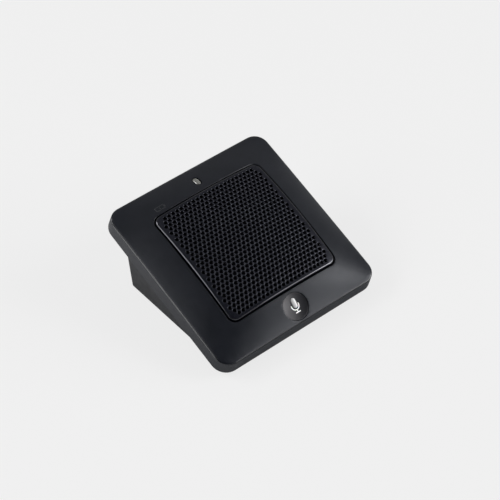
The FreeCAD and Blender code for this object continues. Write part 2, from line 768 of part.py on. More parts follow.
def lights():
    """Status light pipe, the lamp under it and the two lamps beside the switch."""
    half_x, half_y = "light_width/2", "light_length/2"
    lamp_top = f"({BOARD_TOP} + lamp_height)"
    column = pill("light_column", "plate", half_x, half_y, f"{lamp_top} + fit_gap", OVER, "0", LIGHT_Y)
    shaft = common("light_shaft", column, crown_block("light_crown", -size("light_proud")))
    flange = pill(
        "light_foot", "plate", f"{half_x} + light_flange", f"{half_y} + light_flange",
        "light_seat - flange_thickness", "light_seat", "0", LIGHT_Y,
    )
    keep("status_light_pipe", fuse("status_light_pipe", [shaft, flange]))
    lamp = block("status_led", "plate", "lamp_long/2", "lamp_short/2", BOARD_TOP, lamp_top, "0", LIGHT_Y)
    keep("status_led", lamp)
    lamps = []
    for index, sign in enumerate(("-", "")):
        x = f"{sign}(switch_size/2 + fit_gap + lamp_short/2)"
        name = f"icon_lamp_{index}"
        lamps.append(block(name, "plate", "lamp_short/2", "lamp_long/2", BOARD_TOP, lamp_top, x, BUTTON_Y))
    keep("icon_leds", group("icon_leds", lamps))


def wedge_walls():
    """Leaning walls of the base, cut off half way into the deck, with the floor's screw posts."""
    tall = f"{PLATE_Z} + half_length"
    outer = block(
        "wedge_outer", "table", "base_half_width", BASE_Y, "foot_proud", tall, "0", BASE_MIDDLE,
        radius="base_corner", taper="base_draft",
    )
    inner = block(
        "wedge_inner", "table", "base_half_width - base_wall", f"{BASE_Y} - base_wall", "foot_proud", tall,
        "0", BASE_MIDDLE, radius="base_inner_corner", taper="base_draft",
    )
    posts = [
        rod(f"base_boss_{index}", "table", "base_boss", FLOOR_TOP, tall, x, y)
        for index, (x, y) in enumerate(BASE_SCREWS)
    ]
    walls = cut("wedge_walls", outer, cut("wedge_cavity", inner, *posts))
    reach = "2*half_width"
    over_deck = block("over_deck", "plate", reach, reach, "deck/2 - band", f"{tall} + {reach}")
    return cut("wedge", walls, over_deck)


def base_housing():
    """Wedge walls under a flat deck that closes the cover's underside."""
    inset = "skirt + fit_gap"
    solids = [
        wedge_walls(),
        block(
            "deck_plate", "plate", f"half_width - ({inset})", f"half_length - ({inset})", DECK_LOW, DECK_TOP,
            radius=f"corner_radius - ({inset})",
        ),
    ]
    boss_low = f"{DECK_LOW} - boss_below"
    for index, (x, y) in enumerate(BOARD_SCREWS):
        solids.append(rod(f"board_boss_{index}", "plate", "board_boss", boss_low, BOARD_LOW, x, y))
    for index, (x, y) in enumerate(TRAY_SCREWS):
        solids.append(rod(f"tray_boss_{index}", "plate", "board_boss", DECK_LOW, BOARD_LOW, x, y))
    lip = "base_lip"
    tools = [
        block(
            "floor_rebate", "table", f"base_half_width - {lip}", f"{BASE_Y} - {lip}", "foot_proud - wall",
            FLOOR_TOP, "0", BASE_MIDDLE, radius=f"base_corner - {lip}",
        ),
        block("tab_window", "plate", "tab_side + tab_width", "tray_wall", UNDER, "0", "0", BATTERY_FRONT),
    ]
    hole = "screw_radius + screw_clearance"
    for index, (x, y) in enumerate(COVER_SCREWS):
        tools.append(rod(f"deck_hole_{index}", "plate", hole, UNDER, "0", x, y))
    for index, (x, y) in enumerate(BOARD_SCREWS):
        low = f"{BOARD_TOP} - board_screw_length - screw_bite"
        tools.append(rod(f"board_pilot_{index}", "plate", "screw_radius", low, "0", x, y))
    for index, (x, y) in enumerate(TRAY_SCREWS):
        high = "-band - tray_wall + tray_screw_length + screw_bite"
        tools.append(rod(f"tray_pilot_{index}", "plate", "screw_radius", UNDER, high, x, y))
    for index, (x, y) in enumerate(BASE_SCREWS):
        high = "foot_proud + head_height + base_screw_length + screw_bite"
        tools.append(rod(f"base_pilot_{index}", "table", "screw_radius", "0", high, x, y))
    keep("base_housing", cut("base_housing", fuse("base_solid", solids), *tools))


def origin_plane(body, role):
    return next(plane for plane in body.Origin.OriginFeatures if plane.Role == role)


def new_body(node, frame, x="0", y="0", z="0"):
    body = doc.addObject("PartDesign::Body", node)
    place(body, frame, x, y, z)
    return keep(node, body)


def flat_sketch(body, height="0"):
    """Sketch parallel to the body's base plane, at a height."""
    sketch = body.newObject("Sketcher::SketchObject", body.Name + "_sketch")
    sketch.AttachmentSupport = [(origin_plane(body, "XY_Plane"), "")]
    sketch.MapMode = "FlatFace"
    bind(sketch, "AttachmentOffset.Base.z", height)
    return sketch


def pad(body, sketch, length):
    feature = body.newObject("PartDesign::Pad", body.Name + "_pad")
    feature.Profile = sketch
    bind(feature, "Length", length)
    sketch.Visibility = False
    return feature


def pocket_up(body, sketch, depth):
    """Cut from the sketch's plane upwards."""
    feature = body.newObject("PartDesign::Pocket", body.Name + "_pocket")
    feature.Profile = sketch
    feature.Reversed = True
    bind(feature, "Length", depth)
    return feature


def draw_circle(sketch, radius, x="0", y="0"):
    middle = Vector(worth(x), worth(y), 0)
    index = sketch.addGeometry(Part.Circle(middle, Vector(0, 0, 1), worth(radius)))
    constrain(sketch, "Radius", index, radius)
    constrain(sketch, "DistanceX", -1, 1, index, 3, x)
    constrain(sketch, "DistanceY", -1, 1, index, 3, y)


def bottom_plate():
    """Floor of the base, with seats for the feet, screw holes and windows for the contacts."""
    body = new_body("bottom_plate", "table", "0", BASE_MIDDLE, "foot_proud")
    inset = "base_lip - fit_gap"
    outline = flat_sketch(body)
    draw_rounded(outline, f"base_half_width - {inset}", f"{BASE_Y} - {inset}", f"base_corner - {inset}")
    pad(body, outline, "floor")
    seats = flat_sketch(body)
    for x, y in FEET:
        draw_circle(seats, "foot_radius + fit_gap", x, f"{y} - {BASE_MIDDLE}")
    pocket_up(body, seats, "foot_thickness - foot_proud")
    holes = flat_sketch(body)
    for x, y in BASE_SCREWS:
        draw_circle(holes, "screw_radius + screw_clearance", x, f"{y} - {BASE_MIDDLE}")
    for x in ("-contact_pitch", "0", "contact_pitch"):
        draw_circle(holes, "contact_radius + screw_clearance", x, f"{CONTACT_Y} - {BASE_MIDDLE}")
    pocket_up(body, holes, "2*floor")
    heads = flat_sketch(body)
    for x, y in BASE_SCREWS:
        draw_circle(heads, "screw_head + screw_clearance", x, f"{y} - {BASE_MIDDLE}")
    pocket_up(body, heads, "head_height")


def rubber_feet():
    feet = []
    for index, (x, y) in enumerate(FEET):
        foot = doc.addObject("PartDesign::Body", f"foot_{index}")
        place(foot, "table", x, y, "0")
        outline = flat_sketch(foot)
        draw_circle(outline, "foot_radius")
        disc = pad(foot, outline, "foot_thickness")
        doc.recompute()
        lower = [
            f"Edge{number}"
            for number, edge in enumerate(disc.Shape.Edges, start=1)
            if len(edge.Vertexes) == 1 and edge.CenterOfMass.z < size("foot_edge")
        ]
        rounding = foot.newObject("PartDesign::Fillet", f"foot_{index}_edge")
        rounding.Base = (disc, lower)
        bind(rounding, "Radius", "foot_edge")
        feet.append(foot)
    keep("rubber_feet", group("rubber_feet", feet))


def main_board():
    """Circuit board on the deck's bosses."""
    body = new_body("main_board", "plate", "0", "0", BOARD_LOW)
    outline = flat_sketch(body)
    draw_rounded(outline, BOARD_X, BOARD_Y, "board_corner")
    pad(body, outline, "board_thickness")
    holes = flat_sketch(body)
    for x, y in BOARD_SCREWS:
        draw_circle(holes, "screw_radius + screw_clearance", x, y)
    pocket_up(body, holes, "2*board_thickness")


def capsule():
    """Microphone capsule with its sound port up, in a rubber boot on the board."""
    y = "-capsule_front"
    low = f"({BOARD_TOP} + boot_floor)"
    high = f"{low} + capsule_height"
    boot_top = "ledge_level - boot_top_gap"
    boot = rod("boot_blank", "plate", "capsule_radius + boot_wall", BOARD_TOP, boot_top, "0", y)
    room = rod("boot_room", "plate", "capsule_radius", low, "ledge_level", "0", y)
    keep("capsule_boot", cut("capsule_boot", boot, room))
    can = rod("capsule_can", "plate", "capsule_radius", low, high, "0", y)
    port = rod("capsule_port", "plate", "port_radius", f"{high} - port_depth", "ledge_level", "0", y)
    keep("mic_capsule", cut("mic_capsule", can, port))


def on_board(name, half_x, half_y, height, x, y):
    return block(name, "plate", half_x, half_y, BOARD_TOP, f"{BOARD_TOP} + {height}", x, y)


def board_parts():
    """Radio can, chips and small parts on the main board."""
    x, y = "shield_right", "shield_back"
    room_x, room_y = "shield_x - shield_sheet", "shield_y - shield_sheet"
    can = on_board("shield_out", "shield_x", "shield_y", "shield_height", x, y)
    room = on_board("shield_in", room_x, room_y, "shield_height - shield_sheet", x, y)
    keep("radio_shield", cut("radio_shield", can, room))
    chips = [
        ("radio_chip", "radio_chip_half", x, f"{y} + radio_chip_shift"),
        ("processor_chip", "processor_half", "-chips_left", "processor_back"),
        ("audio_chip", "audio_chip_half", "-chips_left", "-audio_chip_front"),
    ]
    for node, half, x, y in chips:
        keep(node, on_board(node, half, half, "chip_height", x, y))
    small = []
    for row in range(3):
        for column in range(4):
            x = f"{column}*small_step_x - small_left"
            y = f"{row}*small_step_y + small_back"
            name = f"small_part_{row}{column}"
            small.append(on_board(name, "small_long/2", "small_short/2", "small_height", x, y))
    for index, x in enumerate(("-filter_side", "filter_side")):
        top = f"{BOARD_TOP} + filter_height"
        small.append(rod(f"filter_can_{index}", "plate", "filter_radius", BOARD_TOP, top, x, "-filter_front"))
    keep("small_board_parts", group("small_board_parts", small))


def antenna():
    """Folded sheet-metal strip that stands on two feet near the board's left edge."""
    body = new_body("antenna", "plate", f"antenna_inset + antenna_width/2 - {BOARD_X}", "0", BOARD_TOP)
    side = body.newObject("Sketcher::SketchObject", "antenna_side")
    side.AttachmentSupport = [(origin_plane(body, "YZ_Plane"), "")]
    side.MapMode = "FlatFace"
    end, top, sheet_metal = size("antenna_length") / 2, size("antenna_height"), size("antenna_sheet")
    foot, under = end - sheet_metal, top - sheet_metal
    outline = [
        (-end, 0), (-foot, 0), (-foot, under), (foot, under), (foot, 0), (end, 0), (end, top), (-end, top),
    ]
    points = [Vector(x, y, 0) for x, y in outline]
    for i in range(8):
        side.addGeometry(Part.LineSegment(points[i], points[(i + 1) % 8]))
    for i in range(8):
        side.addConstraint(Sketcher.Constraint("Coincident", i, 2, (i + 1) % 8, 1))
        side.addConstraint(Sketcher.Constraint("Horizontal" if i % 2 == 0 else "Vertical", i))
    side.addConstraint(Sketcher.Constraint("PointOnObject", 0, 1, -1))
    side.addConstraint(Sketcher.Constraint("PointOnObject", 4, 1, -1))
    constrain(side, "DistanceX", 0, 1, -1, 1, "antenna_length/2")
    constrain(side, "DistanceX", -1, 1, 4, 2, "antenna_length/2")
    constrain(side, "DistanceX", 0, 1, 0, 2, "antenna_sheet")
    constrain(side, "DistanceX", 4, 1, 4, 2, "antenna_sheet")
    constrain(side, "DistanceY", 5, 1, 5, 2, "antenna_height")
    constrain(side, "DistanceY", 2, 1, 6, 2, "antenna_sheet")
    strip = pad(body, side, "antenna_width")
    strip.Midplane = True


def battery_tray():
    """Box that hangs under the deck on two ears, with a notch for the battery's tabs."""
    room_x, room_y = "battery_half_x + fit_gap", "battery_half_y + fit_gap"
    radius = "battery_round + fit_gap"
    y = "battery_middle"
    outside = block(
        "tray_out", "plate", f"{room_x} + tray_wall", f"{room_y} + tray_wall", f"{BATTERY_LOW} - tray_wall",
        DECK_LOW, "0", y, radius=f"{radius} + tray_wall",
    )
    room = block("tray_in", "plate", room_x, room_y, BATTERY_LOW, DECK_LOW, "0", y, radius=radius)
    ear_x = f"{TRAY_SCREW_X} + tray_ear"
    ear_low = "-band - tray_wall"
    ears = block("tray_ears", "plate", ear_x, "tray_ear", ear_low, DECK_LOW, "0", "tray_screw_back")
    notch = block(
        "tray_notch", "plate", "tab_side + tab_width", "tray_wall + fit_gap",
        f"{BATTERY_TOP} - tab_drop - tray_wall", "0", "0", f"{BATTERY_FRONT} - tray_wall",
    )
    tools = [room, notch]
    for index, (x, hole_y) in enumerate(TRAY_SCREWS):
        hole = "screw_radius + screw_clearance"
        tools.append(rod(f"tray_hole_{index}", "plate", hole, f"{ear_low} - tray_wall", "0", x, hole_y))
    keep("battery_tray", cut("battery_tray", fuse("tray_blank", [outside, ears]), *tools))


def battery():
    """Cell, foam pad above it and solder tabs up to the board."""
    cell = new_body("battery_cell", "plate", "0", "battery_middle", BATTERY_LOW)
    outline = flat_sketch(cell)
    draw_rounded(outline, "battery_half_x", "battery_half_y", "battery_round")
    pad(cell, outline, "battery_thickness")
    half_x, half_y = "battery_half_x - battery_round", "battery_half_y - battery_round"
    soft = block("battery_pad", "plate", half_x, half_y, BATTERY_TOP, DECK_LOW, "0", "battery_middle")
    keep("battery_pad", soft)
    low = f"{BATTERY_TOP} - tab_drop"
    y = f"{BATTERY_FRONT} - tab_sheet/2"
    tabs = []
    for index, x in enumerate(("-tab_side", "tab_side")):
        tabs.append(block(f"tab_{index}", "plate", "tab_width/2", "tab_sheet/2", low, BOARD_LOW, x, y))
    keep("battery_tabs", group("battery_tabs", tabs))


def charging_contacts():
    """Pins through the floor, their insulating block and the small board on top of it."""
    half_x, half_y = "contact_block_x", "contact_block_y"
    top = f"({FLOOR_TOP} + contact_block_height)"
    low = "foot_proud + contact_recess"
    holder = block("holder_blank", "table", half_x, half_y, FLOOR_TOP, top, "0", CONTACT_Y)
    pins = []
    bores = []
    for index, x in enumerate(("-contact_pitch", "0", "contact_pitch")):
        pins.append(rod(f"pin_{index}", "table", "contact_radius", low, top, x, CONTACT_Y))
        bores.append(rod(f"pin_bore_{index}", "table", "contact_radius", "0", f"2*{top}", x, CONTACT_Y))
    keep("contact_block", cut("contact_block", holder, *bores))
    keep("charge_contacts", group("charge_contacts", pins))
    board_x, board_y = f"{half_x} + charge_board_margin", f"{half_y} + charge_board_margin"
    board = block("charge_board", "table", board_x, board_y, top, f"{top} + charge_board", "0", CONTACT_Y)
    keep("charge_board", board)


def screws():
    sets = [
        ("cover_screws", "plate", COVER_SCREWS, DECK_LOW, True, "cover_screw_length"),
        ("board_screws", "plate", BOARD_SCREWS, BOARD_TOP, False, "board_screw_length"),
        ("tray_screws", "plate", TRAY_SCREWS, "(-band - tray_wall)", True, "tray_screw_length"),
        ("base_screws", "table", BASE_SCREWS, "(foot_proud + head_height)", True, "base_screw_length"),
    ]
    for node, frame, places, face, up, length in sets:
        made = []
        for index, (x, y) in enumerate(places):
            made.append(screw(f"{node}_{index}", frame, x, y, face, up, length))
        keep(node, group(node, made))


def battery_icon(symbol):
    """Thin inlay of the battery symbol, flush with the crown. Returns the recess for the cover."""
    recess = cut("symbol_recess", symbol, crown_block("symbol_floor", size("symbol_depth")))
    keep("battery_icon", common("battery_icon", recess, crown_block("symbol_crown", 0)))
    return recess


top_cover(battery_icon(battery_symbol()))
grille()
mute_button()
mute_switch()
lights()
base_housing()
bottom_plate()
rubber_feet()
main_board()
capsule()
board_parts()
antenna()
battery_tray()
battery()
charging_contacts()
screws()
doc.recompute()

for thing in doc.Objects:
    if {"Invalid", "Error"} & set(thing.State):
        raise RuntimeError(f"{thing.Label} failed: {thing.State}")
os.makedirs("parts", exist_ok=True)
for node, thing in PARTS.items():
    shape = thing.Shape
    if shape.isNull() or not shape.isValid():
        raise RuntimeError(f"{node} has no valid shape")
    shape.exportStep(f"parts/{node}.step")
    print(node, len(shape.Solids), round(shape.Volume, 2))
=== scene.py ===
import json
import math

import bmesh
import bpy
import numpy as np
from mathutils import Matrix, Vector
from mathutils.geometry import delaunay_2d_cdt


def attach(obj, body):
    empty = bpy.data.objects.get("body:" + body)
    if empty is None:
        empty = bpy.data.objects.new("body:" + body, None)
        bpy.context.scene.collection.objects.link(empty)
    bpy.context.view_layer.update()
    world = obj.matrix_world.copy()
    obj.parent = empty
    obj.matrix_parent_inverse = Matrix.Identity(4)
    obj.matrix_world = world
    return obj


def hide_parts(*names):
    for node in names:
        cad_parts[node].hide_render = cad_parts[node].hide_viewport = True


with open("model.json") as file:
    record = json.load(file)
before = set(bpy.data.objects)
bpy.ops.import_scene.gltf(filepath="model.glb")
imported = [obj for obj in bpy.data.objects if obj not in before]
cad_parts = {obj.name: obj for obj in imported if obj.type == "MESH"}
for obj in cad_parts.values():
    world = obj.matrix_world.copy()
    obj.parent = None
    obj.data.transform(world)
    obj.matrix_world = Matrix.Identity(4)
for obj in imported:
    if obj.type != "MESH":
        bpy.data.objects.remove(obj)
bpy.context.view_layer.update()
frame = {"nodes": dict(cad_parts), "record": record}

# Desk microphone: a tilted square top with a domed perforated grille, a round mute button and a
# small light, on a wedge. Sizes are millimetres until a mesh is finished. The plate frame has its
# origin in the middle of the rim plane and its z axis along the plate's normal.
MM = 0.001

# Top plate
HALF_X = 33.0
HALF_Y = 33.75
CORNER = 5.2
BAND = 5.5
BAND_FLARE = 0.35
CROWN = 7.16
TILT = math.radians(21.43)
FRONT_CLEAR = 1.22
# Angle to the rim plane, in degrees, and width of each flat of the rim's bevelled edge
RIM_BEVEL = [(45, 0.5), (60, 0.1), (76, 0.1)]
BAND_ROUND = 0.3
BAND_STEPS = 6
WALL = 2.0
SKIRT = 1.2
FIT_GAP = 0.1
DECK = 1.6
# Spacing of the points that fill the outer and the inner face, and their room to the outlines
TOP_GRID, TOP_ROOM = 1.0, 0.45
UNDER_GRID, UNDER_ROOM = 2.0, 0.8
PLATE_Y = -(BAND * math.sin(TILT) + BAND_FLARE * math.cos(TILT)) / 2
PLATE_Z = FRONT_CLEAR + (HALF_Y + BAND_FLARE) * math.sin(TILT) + BAND * math.cos(TILT)

# Grille pocket and grille
POCKET_X = 22.5
POCKET_Y = 22.95
POCKET_CORNER = 3.1
POCKET_SHIFT = -0.33
POCKET_ROUND = 0.3
POCKET_FRAME = 1.2
LEDGE_LEVEL = 2.0
LEDGE_WIDTH = 2.5
LEDGE_THICKNESS = 1.5
GRILLE_GAP = 0.48
GRILLE_DOME = 157.0
GRILLE_SHEET = 0.5
# Turn from the face, in degrees, and width of each flat of the grille's bevelled edge
GRILLE_BEVEL = [(15, 0.06), (31, 0.36), (52, 0.05), (74, 0.05)]
GRILLE_LOW = 2.3
HOLE_RADIUS = 0.6
HOLE_LIP = 0.19
LIP_STEPS = 5
HOLE_SIDES = 24
HOLE_PITCH = 1.673
ROW_PITCH = 1.481
HOLE_COLUMNS = 25
HOLE_ROWS = 29

# Mute button and its symbol
BUTTON_Y = -28.6
BUTTON_RADIUS = 4.7
BUTTON_SLOPE = math.radians(24.0)
BUTTON_RECESS = 0.35
BUTTON_CLEARANCE = 0.06
BUTTON_DISH = 0.62
BUTTON_RIM = 0.12
BUTTON_EDGE = 0.08
BUTTON_EDGE_STEPS = 4
BUTTON_LOW = -0.3
BUTTON_TRAVEL = 0.4
BORE_ROUND = 0.12
WELL_DEPTH = 0.25
# Rings of points on the button's face: the smallest radius, how many rings, points for each
# millimetre of radius, the fewest and most of a ring, and the room to the symbol's outlines
FACE_FIRST = 0.25
FACE_RINGS = 16
FACE_DENSITY = 18
FACE_COUNTS = (8, 64)
FACE_ROOM = 0.1
ICON_RISE = 0.3
ICON_SIDE = 0.25
ICON_WIDTH = 3.2
ICON_HEIGHT = 5.15
ICON_STROKE = 0.35
ICON_ARM = 0.45
ICON_BASE = 1.9
ICON_PROUD = 0.012
ICON_DEPTH = 0.22
ICON_STEPS = 18
CAPSULE_SIDE = 0.36
CAPSULE_WIDTH = 1.64
CAPSULE_HEIGHT = 3.5
# Inset from the capsule's outline and height over the button's face
CAPSULE_BEAD = [(0, 0.07), (0.02, 0.12), (0.06, 0.16), (0.14, 0.19), (0.28, 0.21), (0.55, 0.215)]
# Room round the capsule at its left and right, and at its ends
CAPSULE_ROOM = (0.28, 0.02, 0.06)

# Status light and battery symbol
LIGHT_X = 0.1
LIGHT_Y = 27.1
LIGHT_HALF_X = 0.95
LIGHT_HALF_Y = 1.65
LIGHT_PROUD = 0.01
# Room between the window and the edge of its slot
LIGHT_GAP = 0.26
SLOT_ROUND = 0.06
# Flats of the window's edge, given like those of the grille
LIGHT_BEVEL = [(18, 0.06), (36, 0.33), (60, 0.05), (80, 0.05)]
# Heights of the rings of the window's upright wall
LIGHT_WALL = (0.2, 2.0)
LIGHT_BULGE = 0.05
SYMBOL_X = -17.1
SYMBOL_Y = 24.9
SYMBOL_LENGTH = 3.6
SYMBOL_HEIGHT = 1.9
SYMBOL_STROKE = 0.3
SYMBOL_PROUD = 0.06
SYMBOL_BEVEL = 0.09
SYMBOL_BAR = [(-0.15, -0.4), (0.11, -0.4), (0.11, 0.45), (-0.15, 0.45)]

# Base, in the table frame
BASE_X = 29.7
BASE_FRONT = -27.2
BASE_BACK = 25.1
BASE_CORNER = 1.5
BASE_INNER_CORNER = 0.5
BASE_LOW = 0.5
BASE_DRAFT = math.tan(math.radians(1.2))
BASE_WALL = 2.0
BASE_LIP = 1.0
BASE_STEP = 2.0
BASE_BEVEL = 0.4
BASE_BEVEL_STEPS = 4
BASE_LEDGE = 1.6
LEAN_PASSES = 12

# Half the distance over which a surface's slope is measured, how often the place where an edge
# begins is mended, the distance under which points are one, and the turn that makes an edge sharp
NUDGE = 0.01
EDGE_PASSES = 3
SAME_POINT = 1e-7
SHARP_TURN = math.radians(38.0)

PLATE_PLACE = Matrix.Translation((0, PLATE_Y, PLATE_Z)) @ Matrix.Rotation(TILT, 4, "X")
TABLE_PLACE = Matrix.Identity(4)


def crown(x, y):
    """Height of the crowned top over the rim plane."""
    return CROWN * (1 - np.abs(x / HALF_X) ** 3) * (1 - np.abs(y / HALF_Y) ** 3)


def dome(x, y):
    """Height of the grille's outer face over the rim plane."""
    return CROWN - GRILLE_DOME + np.sqrt(GRILLE_DOME ** 2 - x ** 2 - (y - POCKET_SHIFT) ** 2)


def side_counts(half_x, half_y, radius, step):
    """How many pieces of about step long the straight sides along y and along x have."""
    return [max(1, round(2 * side / step)) for side in (half_y - radius, half_x - radius)]


def quarter_turn(steps, first=0):
    """Angles from 0 to 90 degrees in even steps, from a first step on."""
    return [step * math.pi / (2 * steps) for step in range(first, steps + 1)]


def rounded_loop(half_x, half_y, radius, middle=(0.0, 0.0), step=1.0, turns=10, counts=None):
    """Points of a rounded rectangle, anticlockwise, and the unit vectors that point off it.

    counts gives the pieces of the sides along y and along x, where step doesn't.
    """
    points, outs = [], []
    a, b = half_x - radius, half_y - radius
    if counts is None:
        counts = side_counts(half_x, half_y, radius, step)
    centres = [(a, -b), (a, b), (-a, b), (-a, -b)]
    for corner, (cx, cy) in enumerate(centres):
        start = (corner - 1) * math.pi / 2
        for turn in quarter_turn(turns):
            angle = start + turn
            out = np.array([math.cos(angle), math.sin(angle)])
            points.append(np.array([cx, cy]) + radius * out)
            outs.append(out)
        side = a if corner % 2 else b
        pieces = counts[1 - corner % 2]
        along = np.array([-out[1], out[0]])
        last = points[-1]
        for piece in range(1, pieces):
            points.append(last + along * 2 * side * piece / pieces)
            outs.append(out)
    return np.array(points) + np.array(middle), np.array(outs)


def oval_loop(radius_x, radius_y, middle=(0.0, 0.0), count=64):
    """Points of an oval, anticlockwise, and the unit vectors that point off it."""
    angles = np.arange(count) * 2 * math.pi / count
    circle = np.stack([np.cos(angles), np.sin(angles)], axis=1)
    outs = circle / np.array([radius_x, radius_y])
    outs /= np.linalg.norm(outs, axis=1)[:, None]
    return circle * np.array([radius_x, radius_y]) + np.array(middle), outs


def pill_loop(half_x, half_y, middle=(0.0, 0.0), turns=10):
    """Slot outline, longer along y, with ends so nearly half-round that no side has no length."""
    return rounded_loop(half_x, half_y, half_x * 0.999, middle, step=0.4, turns=turns)


def inside(points, loop):
    """Which points lie in a closed outline."""
    x, y = points[:, 0], points[:, 1]
    found = np.zeros(len(points), bool)
    for (x0, y0), (x1, y1) in zip(loop, np.roll(loop, -1, axis=0)):
        if y0 == y1:
            continue
        crosses = (y0 > y) != (y1 > y)
        found ^= crosses & (x < (x1 - x0) * (y - y0) / (y1 - y0) + x0)
    return found


def inside_any(points, loops):
    return np.any([inside(points, loop) for loop in loops], axis=0)


def near(points, loop, distance):
    """Which points lie within a distance of an outline's points."""
    gaps = np.linalg.norm(points[:, None, :] - loop[None, :, :], axis=2)
    return gaps.min(axis=1) < distance


def filling(grid, outline, holes, room):
    """Points of a grid inside an outline and outside its holes, at least room off each of them."""
    grid = grid[inside(grid, outline) & ~inside_any(grid, holes)]
    for loop in [outline, *holes]:
        grid = grid[~near(grid, loop, room)]
    return grid


def triangulate(loops, extra=()):
    """Triangles over the points of some outlines and some extra points, as rows of indices.

    The outlines' points come first, in their order. Every outline's edges are kept.
    """
    edges, first = [], 0
    for loop in loops:
        count = len(loop)
        edges.extend((first + i, first + (i + 1) % count) for i in range(count))
        first += count
    points = np.concatenate([*loops, extra]) if len(extra) else np.concatenate(loops)
    made = delaunay_2d_cdt([Vector(point) for point in points], edges, [], 0, SAME_POINT, True)
    source = [ids[0] for ids in made[3]]
    return points, np.array([[source[i] for i in face] for face in made[2]])


def middles(points, triangles):
    return points[triangles].mean(axis=1)


def level(plan, height):
    """Points of an outline at one height."""
    return np.column_stack([plan, np.full(len(plan), height)])


def lifted(surface, plan, rise=0.0):
    """Points of an outline on a surface, or rise above it."""
    return np.column_stack([plan, surface(*plan.T) + rise])


class Skin:
    """Vertices and faces of one piece, in millimetres of its frame."""

    def __init__(self):
        self.points = []
        self.faces = []
        self.painted = []

    def add(self, points):
        first = len(self.points)
        self.points.extend(tuple(map(float, point)) for point in points)
        return np.arange(first, len(self.points))

    def bridge(self, *rings):
        """Quads between rings of equal length, one after another."""
        for low, high in zip(rings, rings[1:]):
            for i in range(len(low)):
                j = (i + 1) % len(low)
                self.faces.append((low[i], low[j], high[j], high[i]))

    def wall(self, ring, plan, height):
        """Bridge a ring to a new one, an outline at another height."""
        new = self.add(level(plan, height))
        self.bridge(ring, new)
        return new

    def close(self, ring):
        self.faces.append(tuple(ring))

    def paint(self, start, finish):
        """Another finish for the faces that were made since there were start of them."""
        self.painted.append((start, len(self.faces), finish))

    def fill(self, index, triangles):
        """Triangles over vertices that are already there, found through index."""
        self.faces.extend(tuple(index[corner] for corner in triangle) for triangle in triangles)

    def piece(self, name, place, body, slot, replaces, material=None):
        """Make the finished object, smooth but for its sharp edges, in material or its slot's finish."""
        mesh = bpy.data.meshes.new(name)
        mesh.from_pydata([MM * (place @ Vector(point)) for point in self.points], [], self.faces)
        work = bmesh.new()
        work.from_mesh(mesh)
        loose = [vertex for vertex in work.verts if not vertex.link_faces]
        bmesh.ops.delete(work, geom=loose, context="VERTS")
        bmesh.ops.recalc_face_normals(work, faces=work.faces)
        work.to_mesh(mesh)
        work.free()
        mesh.shade_smooth()
        mesh.set_sharp_from_angle(angle=SHARP_TURN)
        made = bpy.data.objects.new(name, mesh)
        bpy.context.scene.collection.objects.link(made)
        weighted = made.modifiers.new("even_normals", "WEIGHTED_NORMAL")
        weighted.keep_sharp = True
        mesh.materials.append(material or FINISHES[slot])
        for start, end, finish in self.painted:
            if finish.name not in mesh.materials:
                mesh.materials.append(finish)
            slot_index = mesh.materials.find(finish.name)
            for face in range(start, end):
                mesh.polygons[face].material_index = slot_index
        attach(made, body)
        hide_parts(*replaces)


def fall(surface, plan, towards):
    """Angle at which a surface falls on the way that towards points."""
    rise = surface(*(plan + towards * NUDGE).T) - surface(*(plan - towards * NUDGE).T)
    return np.arctan(-rise / (2 * NUDGE))


def rounded_edge(surface, plan, towards, radius, steps):
    """Rings of a rounded edge between a surface and an upright wall through an outline.

    towards points off the surface, through the wall. The first ring lies on the surface and the
    last one on the wall.
    """
    touch = plan - towards * radius
    for _ in range(EDGE_PASSES):
        slope = fall(surface, touch, towards)
        touch = plan - towards * (radius * (1 - np.sin(slope)))[:, None]
    middle = surface(*touch.T) - radius * np.cos(slope)
    rings = []
    for step in range(steps + 1):
        turn = slope + (math.pi / 2 - slope) * step / steps
        flat = plan - towards * (radius * (1 - np.sin(turn)))[:, None]
        rings.append(np.column_stack([flat, middle + radius * np.cos(turn)]))
    return rings


def bevelled_edge(surface, plan, towards, flats, from_plan=False):
    """Rings of an edge made of narrow flats, from the surface to an upright wall through an outline.

    Each flat is its turn from the surface, in degrees, and its width. With from_plan the turn is
    from the plane of the outline.
    """
    touch = plan
    for _ in range(EDGE_PASSES):
        slope = fall(surface, touch, towards)
        start = 0 * slope if from_plan else slope
        reach = sum(width * np.cos(start + math.radians(turn)) for turn, width in flats)
        touch = plan - towards * reach[:, None]
    flat, height = touch, surface(*touch.T)
    rings = [np.column_stack([flat, height])]
    for turn, width in flats:
        angle = start + math.radians(turn)
        flat = flat + towards * (width * np.cos(angle))[:, None]
        height = height - width * np.sin(angle)
        rings.append(np.column_stack([flat, height]))
    return rings


def plan_grid(half_x, half_y, step):
    xs = np.linspace(-half_x, half_x, max(2, round(2 * half_x / step)) + 1)
    ys = np.linspace(-half_y, half_y, max(2, round(2 * half_y / step)) + 1)
    across, along = np.meshgrid(xs, ys)
    return np.column_stack([across.ravel(), along.ravel()])


# Materials. Coordinates are metres of the part's own frame, so that grain keeps its real scale.
# Most of a noise's values lie in its spread. Sizes of grain, clouds and gloss are millimetres.
NOISE_SPREAD = (0.3, 0.7)
CLOUD_SIZE = 6.0
GLOSS_SIZE = 2.5
WHITE = (1.0, 1.0, 1.0, 1.0)
SHELL_BLACK = (0.0065, 0.008, 0.0125), (0.009, 0.0105, 0.016)
GRILLE_BLACK = (0.0035, 0.004, 0.008), (0.0055, 0.006, 0.0105)
GRILLE_TINT = (0.86, 0.88, 1.0, 1.0)


def map_range(nodes, links, value, source, target=(0.0, 1.0)):
    """Number that goes through target as value goes through source, and stops at its ends."""
    node = nodes.new("ShaderNodeMapRange")
    node.inputs["From Min"].default_value, node.inputs["From Max"].default_value = source
    node.inputs["To Min"].default_value, node.inputs["To Max"].default_value = target
    links.new(value, node.inputs["Value"])
    return node.outputs["Result"]


